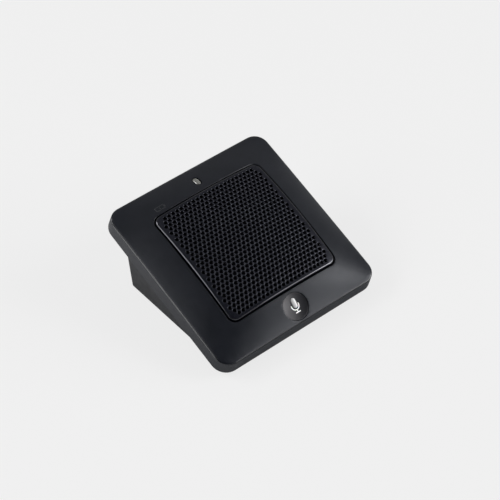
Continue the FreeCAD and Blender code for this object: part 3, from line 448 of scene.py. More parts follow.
class Finish:
    """Principled material built up from layers of noise."""

    def __init__(self, name, settings):
        self.material = bpy.data.materials.new(name)
        self.material.use_nodes = True
        self.nodes = self.material.node_tree.nodes
        self.links = self.material.node_tree.links
        self.shader = self.nodes["Principled BSDF"]
        for socket, value in settings.items():
            self.shader.inputs[socket].default_value = value
        self.place = self.nodes.new("ShaderNodeTexCoord").outputs["Object"]
        self.relief = None

    def stretched(self, scale):
        mapping = self.nodes.new("ShaderNodeMapping")
        mapping.inputs["Scale"].default_value = scale
        self.links.new(self.place, mapping.inputs["Vector"])
        return mapping.outputs["Vector"]

    def noise(self, size_mm, detail=3.0, stretch=None):
        node = self.nodes.new("ShaderNodeTexNoise")
        node.inputs["Scale"].default_value = 1 / (size_mm * MM)
        node.inputs["Detail"].default_value = detail
        self.links.new(self.stretched(stretch) if stretch else self.place, node.inputs["Vector"])
        return node.outputs["Fac"]

    def cells(self, size_mm, feature="F1"):
        node = self.nodes.new("ShaderNodeTexVoronoi")
        node.feature = feature
        node.inputs["Scale"].default_value = 1 / (size_mm * MM)
        self.links.new(self.place, node.inputs["Vector"])
        return node.outputs["Distance"]

    def across(self, low_mm, high_mm):
        """Share of the way from one place to another along x."""
        split = self.nodes.new("ShaderNodeSeparateXYZ")
        self.links.new(self.place, split.inputs[0])
        return map_range(self.nodes, self.links, split.outputs["X"], (low_mm * MM, high_mm * MM))

    def colour(self, value, dark, light, low=0.35, high=0.65):
        """Go from dark to light as value goes from low to high."""
        node = self.nodes.new("ShaderNodeValToRGB")
        first, last = node.color_ramp.elements
        first.position, last.position = low, high
        first.color, last.color = (*dark, 1.0), (*light, 1.0)
        self.links.new(value, node.inputs["Fac"])
        self.links.new(node.outputs["Color"], self.shader.inputs["Base Color"])

    def rough(self, value, smooth, dull):
        share = map_range(self.nodes, self.links, value, NOISE_SPREAD, (smooth, dull))
        self.links.new(share, self.shader.inputs["Roughness"])

    def bump(self, value, depth_mm):
        """Relief on top of what is there."""
        node = self.nodes.new("ShaderNodeBump")
        node.inputs["Strength"].default_value = 1.0
        node.inputs["Distance"].default_value = depth_mm * MM
        self.links.new(value, node.inputs["Height"])
        if self.relief is not None:
            self.links.new(self.relief, node.inputs["Normal"])
        self.relief = node.outputs["Normal"]
        self.links.new(self.relief, self.shader.inputs["Normal"])


def moulded(name, dark, light, rough, grain, settings=None, ripple=None):
    """Moulded plastic or rubber: fine grain, faint clouding and uneven gloss.

    rough is the lowest and the highest roughness, grain the size and the depth of the grain, and
    ripple those of a coarser relief over it.
    """
    made = Finish(name, settings or {})
    size_mm, depth_mm = grain
    fine = made.noise(size_mm, detail=4.0)
    made.colour(made.noise(CLOUD_SIZE, detail=4.0), dark, light)
    made.rough(made.noise(GLOSS_SIZE, detail=5.0), *rough)
    made.bump(fine, depth_mm)
    if ripple:
        size_mm, depth_mm = ripple
        made.bump(made.noise(size_mm, detail=2.0), depth_mm)
    return made.material


def shell_plastic():
    """Bluish black satin plastic with a fine spark-eroded grain."""
    tint = {"Specular Tint": (0.93, 0.95, 1.0, 1.0)}
    rough, grain, ripple = (0.34, 0.41), (0.16, 0.005), (0.5, 0.006)
    return moulded("shell_plastic", *SHELL_BLACK, rough, grain, tint, ripple)


def rim_plastic():
    """The cover's plastic where hands have polished its rim."""
    return moulded("rim_plastic", *SHELL_BLACK, rough=(0.18, 0.24), grain=(0.16, 0.001))


def grille_paint():
    """Black satin paint on metal."""
    tint = {"Specular Tint": GRILLE_TINT}
    return moulded("grille_paint", *GRILLE_BLACK, rough=(0.27, 0.33), grain=(0.12, 0.002), settings=tint)


def lip_paint():
    """The grille's paint on the rounded lips of the holes, where it lies thick and glossy."""
    settings = {"Specular Tint": GRILLE_TINT, "IOR": 1.62}
    return moulded("lip_paint", *GRILLE_BLACK, rough=(0.2, 0.26), grain=(0.12, 0.002), settings=settings)


def hole_painted_shade():
    """Painted shade: a far darker black than the grille's paint, with little gloss, inside the holes and
    under the sheet.
    """
    dark, light = (0.001, 0.001, 0.002), (0.002, 0.002, 0.004)
    settings = {"Specular IOR Level": 0.08}
    return moulded("hole_painted_shade", dark, light, rough=(0.7, 0.8), grain=(0.12, 0.002), settings=settings)


def bevel_paint():
    """The grille's paint where hands have polished its edge."""
    dark, light = (0.004, 0.0045, 0.007), (0.007, 0.0075, 0.0105)
    settings = {"Specular Tint": (0.92, 0.925, 1.0, 1.0), "IOR": 1.8}
    return moulded("bevel_paint", dark, light, rough=(0.13, 0.19), grain=(0.12, 0.0008), settings=settings)


def button_plastic():
    dark, light = (0.008, 0.009, 0.0125), (0.011, 0.012, 0.016)
    tint = {"Specular Tint": (1.0, 0.975, 1.0, 1.0)}
    return moulded("button_plastic", dark, light, rough=(0.38, 0.44), grain=(0.14, 0.003), settings=tint)


def symbol_plastic():
    """Milky translucent white, a little uneven, lit from behind."""
    dark, light = (0.78, 0.78, 0.78), (0.92, 0.92, 0.92)
    settings = {
        "Subsurface Weight": 0.25,
        "Subsurface Scale": 0.4 * MM,
        "Emission Color": WHITE,
        "Emission Strength": 0.4,
    }
    return moulded("symbol_plastic", dark, light, rough=(0.3, 0.4), grain=(0.5, 0.004), settings=settings)


def capsule_painted_shade():
    """The symbol's capsule, with painted shade: grey at its left side, going to white at its right side."""
    settings = {"Roughness": 0.35, "Emission Color": WHITE, "Emission Strength": 0.06}
    made = Finish("capsule_painted_shade", settings)
    side = made.across(CAPSULE_SIDE - CAPSULE_WIDTH / 2, CAPSULE_SIDE + CAPSULE_WIDTH / 2)
    # Painted shade and light across the capsule: grey on its left, white on its right
    made.colour(side, (0.42, 0.42, 0.43), (0.97, 0.97, 0.97), low=0.2, high=0.8)
    made.bump(made.noise(0.5, detail=4.0), 0.004)
    return made.material


def light_window():
    """Frosted smoke-grey window of the status light."""
    dark, light = (0.17, 0.17, 0.155), (0.30, 0.30, 0.28)
    settings = {"IOR": 1.75}
    return moulded("light_window", dark, light, rough=(0.1, 0.17), grain=(0.7, 0.006), settings=settings)


def foam():
    """Open cells of dark foam."""
    made = Finish("foam", {"Roughness": 0.95, "Specular IOR Level": 0.05})
    cells = made.cells(0.35)
    made.colour(cells, (0.0005, 0.0005, 0.0015), (0.003, 0.003, 0.005), low=0.1, high=0.6)
    made.bump(cells, 0.2)
    return made.material


def solder_mask():
    """Green board with faint tracks under the mask."""
    made = Finish("solder_mask", {"Coat Weight": 0.4})
    tracks = made.cells(1.8, "DISTANCE_TO_EDGE")
    made.colour(tracks, (0.03, 0.17, 0.08), (0.012, 0.085, 0.038), low=0.06, high=0.1)
    made.rough(made.noise(1.5), 0.25, 0.4)
    made.bump(tracks, 0.03)
    return made.material


def metal(name, dark, light, rough, stretch):
    """Metal with drawn grain along the way on which the noise is stretched."""
    made = Finish(name, {"Metallic": 1.0})
    lines = made.noise(0.6, detail=5.0, stretch=stretch)
    made.colour(made.noise(1.2, detail=4.0), dark, light)
    made.rough(lines, *rough)
    made.bump(lines, 0.004)
    return made.material


def lamp_resin():
    dark, light = (0.62, 0.56, 0.32), (0.8, 0.74, 0.5)
    settings = {"Transmission Weight": 0.4, "IOR": 1.5}
    return moulded("lamp_resin", dark, light, rough=(0.1, 0.2), grain=(0.4, 0.005), settings=settings)


FINISHES = {
    "shell_black": moulded(
        "base_plastic", (0.01, 0.011, 0.014), (0.014, 0.0155, 0.019), rough=(0.44, 0.52), grain=(0.2, 0.008)
    ),
    "grille_black": grille_paint(),
    "button_black": button_plastic(),
    "symbol_white": symbol_plastic(),
    "light_diffuser": light_window(),
    "rubber_black": moulded(
        "rubber", (0.012, 0.012, 0.012), (0.02, 0.02, 0.02), rough=(0.7, 0.85), grain=(0.25, 0.02)
    ),
    "foam_black": foam(),
    "board_green": solder_mask(),
    "chip_black": moulded(
        "epoxy", (0.012, 0.012, 0.014), (0.02, 0.02, 0.022), rough=(0.45, 0.6), grain=(0.1, 0.01)
    ),
    "part_tan": moulded(
        "ceramic", (0.30, 0.21, 0.12), (0.42, 0.31, 0.19), rough=(0.35, 0.5), grain=(0.3, 0.01)
    ),
    "screw_steel": metal(
        "zinc", (0.36, 0.36, 0.37), (0.55, 0.55, 0.56), (0.25, 0.45), stretch=(1.0, 1.0, 0.2)
    ),
    "tin_sheet": metal("tin", (0.5, 0.5, 0.48), (0.66, 0.66, 0.64), (0.2, 0.4), stretch=(0.2, 1.0, 1.0)),
    "contact_gold": metal(
        "gold", (0.62, 0.43, 0.14), (0.78, 0.58, 0.24), (0.15, 0.3), stretch=(1.0, 0.3, 1.0)
    ),
    "cell_wrap": moulded(
        "shrink_film", (0.10, 0.12, 0.17), (0.16, 0.18, 0.24), rough=(0.2, 0.35), grain=(3.0, 0.05)
    ),
    "switch_black": moulded(
        "switch_plastic", (0.02, 0.02, 0.021), (0.03, 0.03, 0.031), rough=(0.3, 0.42), grain=(0.2, 0.006)
    ),
    "lamp_clear": lamp_resin(),
}
SHELL_FINISH = shell_plastic()
RIM_FINISH = rim_plastic()
INK_FINISH = moulded(
    "print_ink", (0.03, 0.032, 0.038), (0.06, 0.062, 0.068), rough=(0.26, 0.34), grain=(0.2, 0.002)
)
BEVEL_FINISH = bevel_paint()
LIP_FINISH = lip_paint()
HOLE_FINISH = hole_painted_shade()
CAPSULE_FINISH = capsule_painted_shade()


def dress_frame():
    """Give each carried-over piece the finish of its slot."""
    for subpart in frame["record"]["subparts"]:
        node = frame["nodes"][subpart["node"]]
        finish = FINISHES[subpart["material_slot"]]
        for slot in node.material_slots:
            slot.material = finish
        if not node.material_slots:
            node.data.materials.append(finish)


def face_point(flat, rise=0.0):
    """Points on the plane of the button's rim, rise above it, in the plate frame."""
    cos, sin = math.cos(BUTTON_SLOPE), math.sin(BUTTON_SLOPE)
    face = crown(0.0, BUTTON_Y) - BUTTON_RECESS / cos
    u, v = flat.T
    y = BUTTON_Y + v * cos - rise * sin
    z = face + v * sin + rise * cos
    return np.column_stack([u, y, z])


def on_face(flat, rise=0.0):
    """Points on the button's face, a smooth hollow inside its rim, or rise above it."""
    share = np.clip(np.linalg.norm(flat, axis=1) / (BUTTON_RADIUS - BUTTON_RIM), 0, 1)
    return face_point(flat, -BUTTON_DISH * (1 - share ** 2) + rise)


def battery_outline():
    """Outline of a battery with its terminal, and the room inside it."""
    x, y = SYMBOL_LENGTH / 2, SYMBOL_HEIGHT / 2
    tip = x + SYMBOL_STROKE
    outer = [(-x, -y), (x, -y), (x, -y / 2), (tip, -y / 2), (tip, y / 2), (x, y / 2), (x, y), (-x, y)]
    a, b = x - SYMBOL_STROKE, y - SYMBOL_STROKE
    inner = [(-a, -b), (a, -b), (a, b), (-a, b)]
    place = np.array([SYMBOL_X, SYMBOL_Y])
    return np.array(outer) + place, np.array(inner) + place


def top_cover():
    """Crowned cover with its rim, pocket and openings."""
    skin = Skin()
    rim_plan, rim_out = rounded_loop(HALF_X, HALF_Y, CORNER)
    pocket_plan, pocket_out = rounded_loop(POCKET_X, POCKET_Y, POCKET_CORNER, (0, POCKET_SHIFT))
    short = BUTTON_RADIUS * math.cos(BUTTON_SLOPE)
    bore_x, bore_y = BUTTON_RADIUS + BUTTON_CLEARANCE, short + BUTTON_CLEARANCE
    bore_plan, bore_out = oval_loop(bore_x, bore_y, (0, BUTTON_Y))
    slot_x, slot_y = LIGHT_HALF_X + LIGHT_GAP, LIGHT_HALF_Y + LIGHT_GAP
    slot_plan, slot_out = pill_loop(slot_x, slot_y, (LIGHT_X, LIGHT_Y))
    battery_outer, battery_inner = battery_outline()

    rim = bevelled_edge(crown, rim_plan, rim_out, RIM_BEVEL, from_plan=True)
    pocket = rounded_edge(crown, pocket_plan, -pocket_out, POCKET_ROUND, steps=4)
    bore = rounded_edge(crown, bore_plan, -bore_out, BORE_ROUND, steps=3)
    slot = rounded_edge(crown, slot_plan, -slot_out, SLOT_ROUND, steps=2)

    flat = [ring[0][:, :2] for ring in (rim, pocket, bore, slot)]
    loops = [*flat, battery_outer, battery_inner]
    grid = plan_grid(HALF_X, HALF_Y, TOP_GRID)
    grid = grid[~inside(grid, battery_outer)]
    points, triangles = triangulate(loops, filling(grid, flat[0], flat[1:], TOP_ROOM))
    gone = inside_any(middles(points, triangles), flat[1:])

    top = skin.add(lifted(crown, points))
    skin.fill(top, triangles[~gone])
    starts = np.cumsum([0] + [len(loop) for loop in loops])
    edge_rings = []
    for start, rings in zip(starts, (rim, pocket, bore, slot)):
        first = top[start:start + len(rings[0])]
        rest = [skin.add(ring) for ring in rings[1:]]
        edge = len(skin.faces)
        skin.bridge(first, *rest)
        if rings is rim:
            skin.paint(edge, RIM_FINISH)
        edge_rings.append(rest[-1])

    foot = [edge_rings[0]]
    for turn in quarter_turn(BAND_STEPS):
        inset = BAND_ROUND * (1 - math.cos(turn))
        height = -BAND + BAND_ROUND * (1 - math.sin(turn))
        plan = rim_plan + rim_out * (BAND_FLARE * (1 - BAND_ROUND / BAND) - inset)
        foot.append(skin.add(level(plan, height)))
    skirt = rim_plan - rim_out * SKIRT
    inner = rim_plan - rim_out * WALL
    foot.append(skin.add(level(skirt, -BAND)))
    foot.append(skin.add(level(skirt, -BAND + DECK)))
    foot.append(skin.add(level(inner, -BAND + DECK)))
    under = skin.add(lifted(crown, inner, -WALL))
    foot.append(under)
    skin.bridge(*foot)

    ledge = skin.wall(edge_rings[1], pocket_plan, LEDGE_LEVEL)
    mouth_plan = pocket_plan - pocket_out * LEDGE_WIDTH
    frame_plan = pocket_plan + pocket_out * POCKET_FRAME
    frame_low = LEDGE_LEVEL - LEDGE_THICKNESS
    mouth = skin.add(level(mouth_plan, LEDGE_LEVEL))
    mouth_low = skin.add(level(mouth_plan, frame_low))
    frame_foot = skin.add(level(frame_plan, frame_low))
    frame_top = skin.add(lifted(crown, frame_plan, -WALL))
    skin.bridge(ledge, mouth, mouth_low, frame_foot, frame_top)

    skin.close(skin.wall(edge_rings[2], bore_plan, BUTTON_LOW - BUTTON_TRAVEL - BUTTON_CLEARANCE))
    slot_low = skin.add(lifted(crown, slot_plan, -WALL))
    skin.bridge(edge_rings[3], slot_low)

    holes = [frame_plan, slot_plan]
    spare = filling(plan_grid(HALF_X - WALL, HALF_Y - WALL, UNDER_GRID), inner, holes, UNDER_ROOM)
    points, triangles = triangulate([inner, *holes], spare)
    centres = middles(points, triangles)
    kept = inside(centres, inner) & ~inside_any(centres, holes)
    more = skin.add(lifted(crown, spare, -WALL))
    skin.fill(np.concatenate([under, frame_top, slot_low, more]), triangles[kept])
    skin.piece("top_cover_shell", PLATE_PLACE, "housing", "shell_black", ["top_cover"], SHELL_FINISH)


def battery_symbol():
    """Thin raised print on the cover: a battery's outline and a bar in it."""
    ink = Skin()
    outer, inner = battery_outline()
    middle = np.array([SYMBOL_X, SYMBOL_Y])
    for loops in ([outer, inner], [np.array(SYMBOL_BAR) + middle]):
        raised, sunk = [], []
        for loop, way in zip(loops, (-1, 1)):
            slope = way * SYMBOL_BEVEL * np.sign(loop - middle)
            raised.append(ink.add(lifted(crown, loop + slope, SYMBOL_PROUD)))
            sunk.append(ink.add(lifted(crown, loop, -SYMBOL_PROUD)))
            ink.bridge(raised[-1], sunk[-1])
        points, triangles = triangulate(loops)
        centres = middles(points, triangles)
        keep = inside(centres, loops[0]) & ~inside_any(centres, loops[1:])
        ink.fill(np.concatenate(raised), triangles[keep])
        ink.fill(np.concatenate(sunk), triangles[keep][:, ::-1])
    ink.piece("battery_symbol", PLATE_PLACE, "housing", "symbol_white", ["battery_icon"], INK_FINISH)


def hole_places():
    """Centres of the grille's holes, in staggered rows, the first and the last two holes shorter."""
    places = []
    for row in range(HOLE_ROWS):
        count = HOLE_COLUMNS - row % 2
        if row in (0, HOLE_ROWS - 1):
            count -= 2
        for column in range(count):
            x = (column - (count - 1) / 2) * HOLE_PITCH
            y = (row - (HOLE_ROWS - 1) / 2) * ROW_PITCH + POCKET_SHIFT
            places.append((x, y))
    return np.array(places)


def under_dome(plan, depth):
    """Points a radial depth below the grille's outer face, which plan is over."""
    centre = np.array([0, POCKET_SHIFT, CROWN - GRILLE_DOME])
    points = lifted(dome, plan)
    return points - (points - centre) * (np.asarray(depth) / GRILLE_DOME)


def grille():
    """Domed perforated sheet with a turned-down edge and rounded hole rims."""
    skin = Skin()
    half_x, half_y = POCKET_X - GRILLE_GAP, POCKET_Y - GRILLE_GAP
    corner = POCKET_CORNER - GRILLE_GAP
    plan, out = rounded_loop(half_x, half_y, corner, (0, POCKET_SHIFT))
    edge = bevelled_edge(dome, plan, out, GRILLE_BEVEL)
    places = hole_places()
    circle, _ = oval_loop(1.0, 1.0, count=HOLE_SIDES)
    wide = HOLE_RADIUS + HOLE_LIP
    holes = [circle * wide + place for place in places]

    loops = [edge[0][:, :2], *holes]
    points, triangles = triangulate(loops)
    owner = np.concatenate([np.full(len(loop), index) for index, loop in enumerate(loops)])
    owners = owner[triangles]
    # A hole's own triangles have all their corners on it
    same = (owners[:, 0] == owners[:, 1]) & (owners[:, 1] == owners[:, 2])
    triangles = triangles[~(same & (owners[:, 0] > 0))]

    top = skin.add(np.concatenate([edge[0], lifted(dome, points[len(plan):])]))
    skin.fill(top, triangles)

    lips = len(skin.faces)
    walls = []
    inner_plan = plan - out * GRILLE_SHEET
    inner_top = skin.add(under_dome(inner_plan, GRILLE_SHEET))
    for index, place in enumerate(places):
        start = len(plan) + index * HOLE_SIDES
        rings = [top[start:start + HOLE_SIDES]]
        for turn in quarter_turn(LIP_STEPS, 1):
            reach = wide - HOLE_LIP * math.sin(turn)
            depth = HOLE_LIP * (1 - math.cos(turn))
            rings.append(skin.add(under_dome(circle * reach + place, depth)))
        skin.bridge(*rings)
        low = skin.add(under_dome(circle * HOLE_RADIUS + place, GRILLE_SHEET))
        walls.append((rings[-1], low))
    skin.paint(lips, LIP_FINISH)
    # The hole walls and the sheet's underside get a darker black: painted shade
    unlit = len(skin.faces)
    for upper, low in walls:
        skin.bridge(upper, low)
    skin.fill(np.concatenate([inner_top, *(low for _, low in walls)]), triangles[:, ::-1])
    skin.paint(unlit, HOLE_FINISH)

    rings = [top[:len(plan)]] + [skin.add(ring) for ring in edge[1:]]
    bevel = len(skin.faces)
    skin.bridge(*rings)
    skin.paint(bevel, BEVEL_FINISH)
    foot = skin.add(level(plan, GRILLE_LOW))
    inner_foot = skin.add(level(inner_plan, GRILLE_LOW))
    skin.bridge(rings[-1], foot, inner_foot, inner_top)
    skin.piece("grille_sheet", PLATE_PLACE, "housing", "grille_black", ["grille"])


def capsule_outline(left, right, ends):
    """Outline of the symbol's capsule with some room round it, or inset where that is negative."""
    middle = ICON_RISE + (ICON_HEIGHT - CAPSULE_HEIGHT) / 2
    half_x = (CAPSULE_WIDTH + left + right) / 2
    side = CAPSULE_SIDE + (right - left) / 2
    return pill_loop(half_x, CAPSULE_HEIGHT / 2 + ends, (side, middle), turns=8)[0]


def holder_outline():
    """Holder of the microphone symbol on the button's face, with its stem and base."""
    top, bottom = ICON_RISE + ICON_HEIGHT / 2, ICON_RISE - ICON_HEIGHT / 2
    middle = top - CAPSULE_HEIGHT + CAPSULE_WIDTH / 2
    outer, inner = ICON_WIDTH / 2, ICON_WIDTH / 2 - ICON_STROKE
    angles = np.linspace(math.pi, 2 * math.pi, ICON_STEPS + 1)
    stem = ICON_STROKE / 2
    arm, foot = middle + ICON_ARM, bottom + ICON_STROKE
    outline = [(-outer, arm)]
    for angle in angles:
        point = (outer * math.cos(angle), middle + outer * math.sin(angle))
        if abs(point[0]) > stem:
            outline.append(point)
        elif math.isclose(angle, 1.5 * math.pi):
            join = middle - math.sqrt(outer ** 2 - stem ** 2)
            base = ICON_BASE / 2
            outline += [(-stem, join), (-stem, foot), (-base, foot), (-base, bottom)]
            outline += [(base, bottom), (base, foot), (stem, foot), (stem, join)]
    outline += [(outer, arm), (inner, arm)]
    for angle in angles[::-1]:
        outline.append((inner * math.cos(angle), middle + inner * math.sin(angle)))
    outline.append((-inner, arm))
    return np.array(outline) + np.array([ICON_SIDE, 0])


def mute_button():
    """Dished cap with openings for the symbol."""
    loops = [capsule_outline(*CAPSULE_ROOM), holder_outline()]
    rim_radius = BUTTON_RADIUS - BUTTON_EDGE
    circle, _ = oval_loop(1.0, 1.0)
    extra = [np.zeros((1, 2))]
    for radius in np.linspace(FACE_FIRST, BUTTON_RADIUS - BUTTON_RIM, FACE_RINGS):
        count = int(np.clip(radius * FACE_DENSITY, *FACE_COUNTS))
        extra.append(oval_loop(radius, radius, count=count)[0])
    extra = np.concatenate(extra)
    for loop in loops:
        extra = extra[~near(extra, loop, FACE_ROOM)]
    points, triangles = triangulate([circle * rim_radius, *loops], extra)
    white = inside_any(middles(points, triangles), loops)

    cap = Skin()
    top = cap.add(on_face(points))
    cap.fill(top, triangles[~white])
    rings = [top[:len(circle)]]
    for turn in quarter_turn(BUTTON_EDGE_STEPS, 1):
        reach = rim_radius + BUTTON_EDGE * math.sin(turn)
        rings.append(cap.add(face_point(circle * reach, BUTTON_EDGE * (math.cos(turn) - 1))))
    skirt = face_point(circle * BUTTON_RADIUS)
    rings.append(cap.add(level(skirt[:, :2], BUTTON_LOW)))
    cap.bridge(*rings)
    cap.close(rings[-1])
    start = len(circle)
    wells = []
    for loop in loops:
        ring = top[start:start + len(loop)]
        start += len(loop)
        low = cap.add(on_face(loop, -WELL_DEPTH))
        cap.bridge(ring, low)
        wells.append(low)
    well = triangles[white]
    index = np.concatenate([top[:len(circle)], *wells, np.zeros(len(extra), int)])
    for point in np.unique(well[well >= start]):
        index[point] = cap.add(on_face(points[point:point + 1], -WELL_DEPTH))[0]
    cap.fill(index, well)
    cap.piece("mute_button_cap", PLATE_PLACE, "button", "button_black", ["mute_button"])


def mute_symbol():
    """White holder and capsule that fill the cap's openings."""
    sign = Skin()
    holder = holder_outline()
    flat, triangles = triangulate([holder])
    triangles = triangles[inside(middles(flat, triangles), holder)]
    upper = sign.add(on_face(flat, ICON_PROUD))
    lower = sign.add(on_face(flat, -ICON_DEPTH))
    sign.fill(upper, triangles)
    sign.fill(lower, triangles[:, ::-1])
    sign.bridge(upper, lower)
    shaded = len(sign.faces)
    rings = [sign.add(on_face(capsule_outline(0, 0, 0), -ICON_DEPTH))]
    for inset, rise in CAPSULE_BEAD:
        rings.append(sign.add(on_face(capsule_outline(-inset, -inset, -inset), rise)))
    sign.bridge(*rings)
    sign.close(rings[0])
    sign.close(rings[-1])
    # The capsule's finish paints shade on it: grey at its left side, white at its right
    sign.paint(shaded, CAPSULE_FINISH)
    sign.piece("mute_symbol", PLATE_PLACE, "button", "symbol_white", ["icon_light_guide"])


def status_window():
    """Pill-shaped window with a softly rounded edge, down to its lamp."""
    skin = Skin()
    plan, out = pill_loop(LIGHT_HALF_X, LIGHT_HALF_Y, (LIGHT_X, LIGHT_Y))
    middle = np.array([LIGHT_X, LIGHT_Y])
    rings = [skin.add(level(plan, height)) for height in LIGHT_WALL]
    bevel = bevelled_edge(crown, plan, out, LIGHT_BEVEL)
    for ring in bevel[::-1]:
        rings.append(skin.add(ring + np.array([0, 0, LIGHT_PROUD])))
    edge = bevel[0][:, :2]
    for share in (0.75, 0.5, 0.25):
        flat = middle + (edge - middle) * share
        height = crown(*flat.T) + LIGHT_PROUD + LIGHT_BULGE * (1 - share ** 2)
        rings.append(skin.add(np.column_stack([flat, height])))
    skin.bridge(*rings)
    skin.close(rings[0])
    skin.close(rings[-1])
    skin.piece("status_window", PLATE_PLACE, "housing", "light_diffuser", ["status_light_pipe"])


def base_walls():
    """Leaning walls of the wedge under the deck that closes the cover."""
    middle = (0, (BASE_BACK + BASE_FRONT) / 2)
    half_y = (BASE_BACK - BASE_FRONT) / 2
    plan, out = rounded_loop(BASE_X, half_y, BASE_CORNER, middle, BASE_STEP)
    underside = -BAND

    def meet(start, outward):
        """Where a leaning line from start meets the underside of the deck, in the table frame."""
        ends = []
        for (x, y), lean in zip(start, outward):
            z = BASE_LOW
            for _ in range(LEAN_PASSES):
                px, py = np.array([x, y]) + lean * BASE_DRAFT * (z - BASE_LOW)
                along = (py - PLATE_Y + underside * math.sin(TILT)) / math.cos(TILT)
                z = PLATE_Z + along * math.sin(TILT) + underside * math.cos(TILT)
            ends.append((px, py, z))
        return np.array(ends)

    skin = Skin()
    rings = [skin.add(level(plan - out * BASE_LIP, BASE_LOW))]
    for turn in quarter_turn(BASE_BEVEL_STEPS):
        flat = plan - out * BASE_BEVEL * (1 - math.sin(turn))
        rings.append(skin.add(level(flat, BASE_LOW + BASE_BEVEL * (1 - math.cos(turn)))))
    top = meet(plan, out)
    rings.append(skin.add(top))
    skin.bridge(*rings)

    inset = SKIRT + FIT_GAP
    deck_plan, _ = rounded_loop(HALF_X - inset, HALF_Y - inset, CORNER - inset, step=BASE_STEP)
    flat_top = [PLATE_PLACE.inverted() @ Vector(point) for point in top]
    top_plan = np.array([(point.x, point.y) for point in flat_top])
    points, triangles = triangulate([deck_plan, top_plan])
    rim = triangles[~inside(middles(points, triangles), top_plan)]
    deck_low = skin.add(PLATE_PLACE @ Vector(point) for point in level(deck_plan, underside))
    skin.fill(np.concatenate([deck_low, rings[-1]]), rim)
    deck_high = skin.add(PLATE_PLACE @ Vector(point) for point in level(deck_plan, underside + DECK))
    skin.bridge(deck_low, deck_high)
    skin.close(deck_high)

    counts = side_counts(BASE_X, half_y, BASE_CORNER, BASE_STEP)
    inner, _ = rounded_loop(
        BASE_X - BASE_WALL, half_y - BASE_WALL, BASE_INNER_CORNER, middle, counts=counts
    )
    inner_low = skin.add(level(inner, BASE_LOW + BASE_LEDGE))
    lip_top = skin.add(level(plan - out * BASE_LIP, BASE_LOW + BASE_LEDGE))
    inner_top = skin.add(meet(inner, out))
    skin.bridge(rings[0], lip_top, inner_low, inner_top)
    skin.close(inner_top)
    skin.piece("base_shell", TABLE_PLACE, "housing", "shell_black", ["base_housing"])


# Camera, floor and lights. The camera stands where the photograph was taken from.
VIEW_AZIMUTH = math.radians(-35.641)
VIEW_ELEVATION = math.radians(43.379)
VIEW_ROLL = math.radians(-4.141)
VIEW_TARGET = Vector((2.355, -2.033, 15.845)) * MM
VIEW_DISTANCE = 549.419 * MM
VIEW_LENS = 117.183
VIEW_SENSOR = 36.0
VIEW_NEAR = 0.01
# The camera sees the surroundings at PALE, and so do reflections near the horizon. All else sees a
# room that goes from dark to bright as a direction's product with SKY_BRIGHT_WAY goes through
# SKY_FADE. Reflections go from pale to that room as their direction's height goes through PALE_FADE.
PALE = 0.863
SKY_BRIGHT_WAY = (0.35, 1.0, 0.0)
SKY_FADE = (-0.2, 0.1)
SKY_DARK = 0.07
SKY_BRIGHT = 0.26
PALE_FADE = (0.02, 0.14)
# Half the floor's size in metres, and its plain colour
FLOOR_HALF = 4.0
FLOOR_GREY = (0.8, 0.8, 0.8, 1)
# Share of the floor that takes light and shadow, and its even glow: as the camera sees it, and in
# reflections left of FLOOR_BRIGHT_X and right of FLOOR_DIM_X
FLOOR_SEEN = (0.17, 0.757)
FLOOR_MIRRORED_LEFT = (0.6, 0.63)
FLOOR_MIRRORED_RIGHT = (0.6, 0.05)
FLOOR_BRIGHT_X = -80.0
FLOOR_DIM_X = -23.0
# Height that the lamps face, in metres, and for each lamp its name, azimuth and elevation in
# degrees, distance, width and height in metres, and radiance
LAMP_AIM = 0.015
LAMPS = [
    ("key_low_right", 52, 10, 1.2, 0.72, 0.4, 7.6),
    ("key_low_front", 28, 14, 1.2, 0.36, 0.46, 2.9),
    ("key_high_right", 52, 35, 1.2, 0.4, 0.42, 5.6),
    ("side_left_low", -100, 9, 1.2, 0.8, 0.3, 2.2),
    ("rim_left", -104, 28, 1.2, 0.5, 0.3, 4.0),
    ("back_left", -138, 37, 1.2, 0.5, 0.3, 8.0),
    ("bevel_left", -106, 45, 1.2, 0.56, 0.14, 2.0),
    ("back_right", 125, 38, 1.4, 0.8, 0.5, 0.12),
    ("top_left", -95, 64, 1.4, 0.5, 0.5, 0.25),
]


def direction(azimuth, elevation):
    """Unit vector towards a place, azimuth 0 being in front and 90 degrees to the right."""
    return Vector((
        math.sin(azimuth) * math.cos(elevation),
        -math.cos(azimuth) * math.cos(elevation),
        math.sin(elevation),
    ))


def camera():
    made = bpy.data.cameras.new("photo_camera")
    made.lens = VIEW_LENS
    made.sensor_width = VIEW_SENSOR
    made.clip_start = VIEW_NEAR
    away = direction(VIEW_AZIMUTH, VIEW_ELEVATION)
    right = Vector((0, 0, 1)).cross(away).normalized()
    up = away.cross(right)
    turned_right = right * math.cos(VIEW_ROLL) + up * math.sin(VIEW_ROLL)
    turned_up = away.cross(turned_right)
    seen = bpy.data.objects.new("photo_camera", made)
    bpy.context.scene.collection.objects.link(seen)
    turn = Matrix((turned_right, turned_up, away)).transposed().to_4x4()
    seen.matrix_world = Matrix.Translation(VIEW_TARGET + away * VIEW_DISTANCE) @ turn
    bpy.context.scene.camera = seen


def joined(nodes, links, operation, first, second):
    """Number that a math node makes of two others."""
    node = nodes.new("ShaderNodeMath")
    node.operation = operation
    links.new(first, node.inputs[0])
    links.new(second, node.inputs[1])
    return node.outputs[0]


def mixed(nodes, links, share, first, second):
    """Shader that goes from first to second as share goes from 0 to 1."""
    node = nodes.new("ShaderNodeMixShader")
    links.new(share, node.inputs["Fac"])
    links.new(first, node.inputs[1])
    links.new(second, node.inputs[2])
    return node.outputs[0]


def coordinate(nodes, links, kind, axis):
    """One axis of a texture coordinate."""
    split = nodes.new("ShaderNodeSeparateXYZ")
    links.new(nodes.new("ShaderNodeTexCoord").outputs[kind], split.inputs[0])
    return split.outputs[axis]


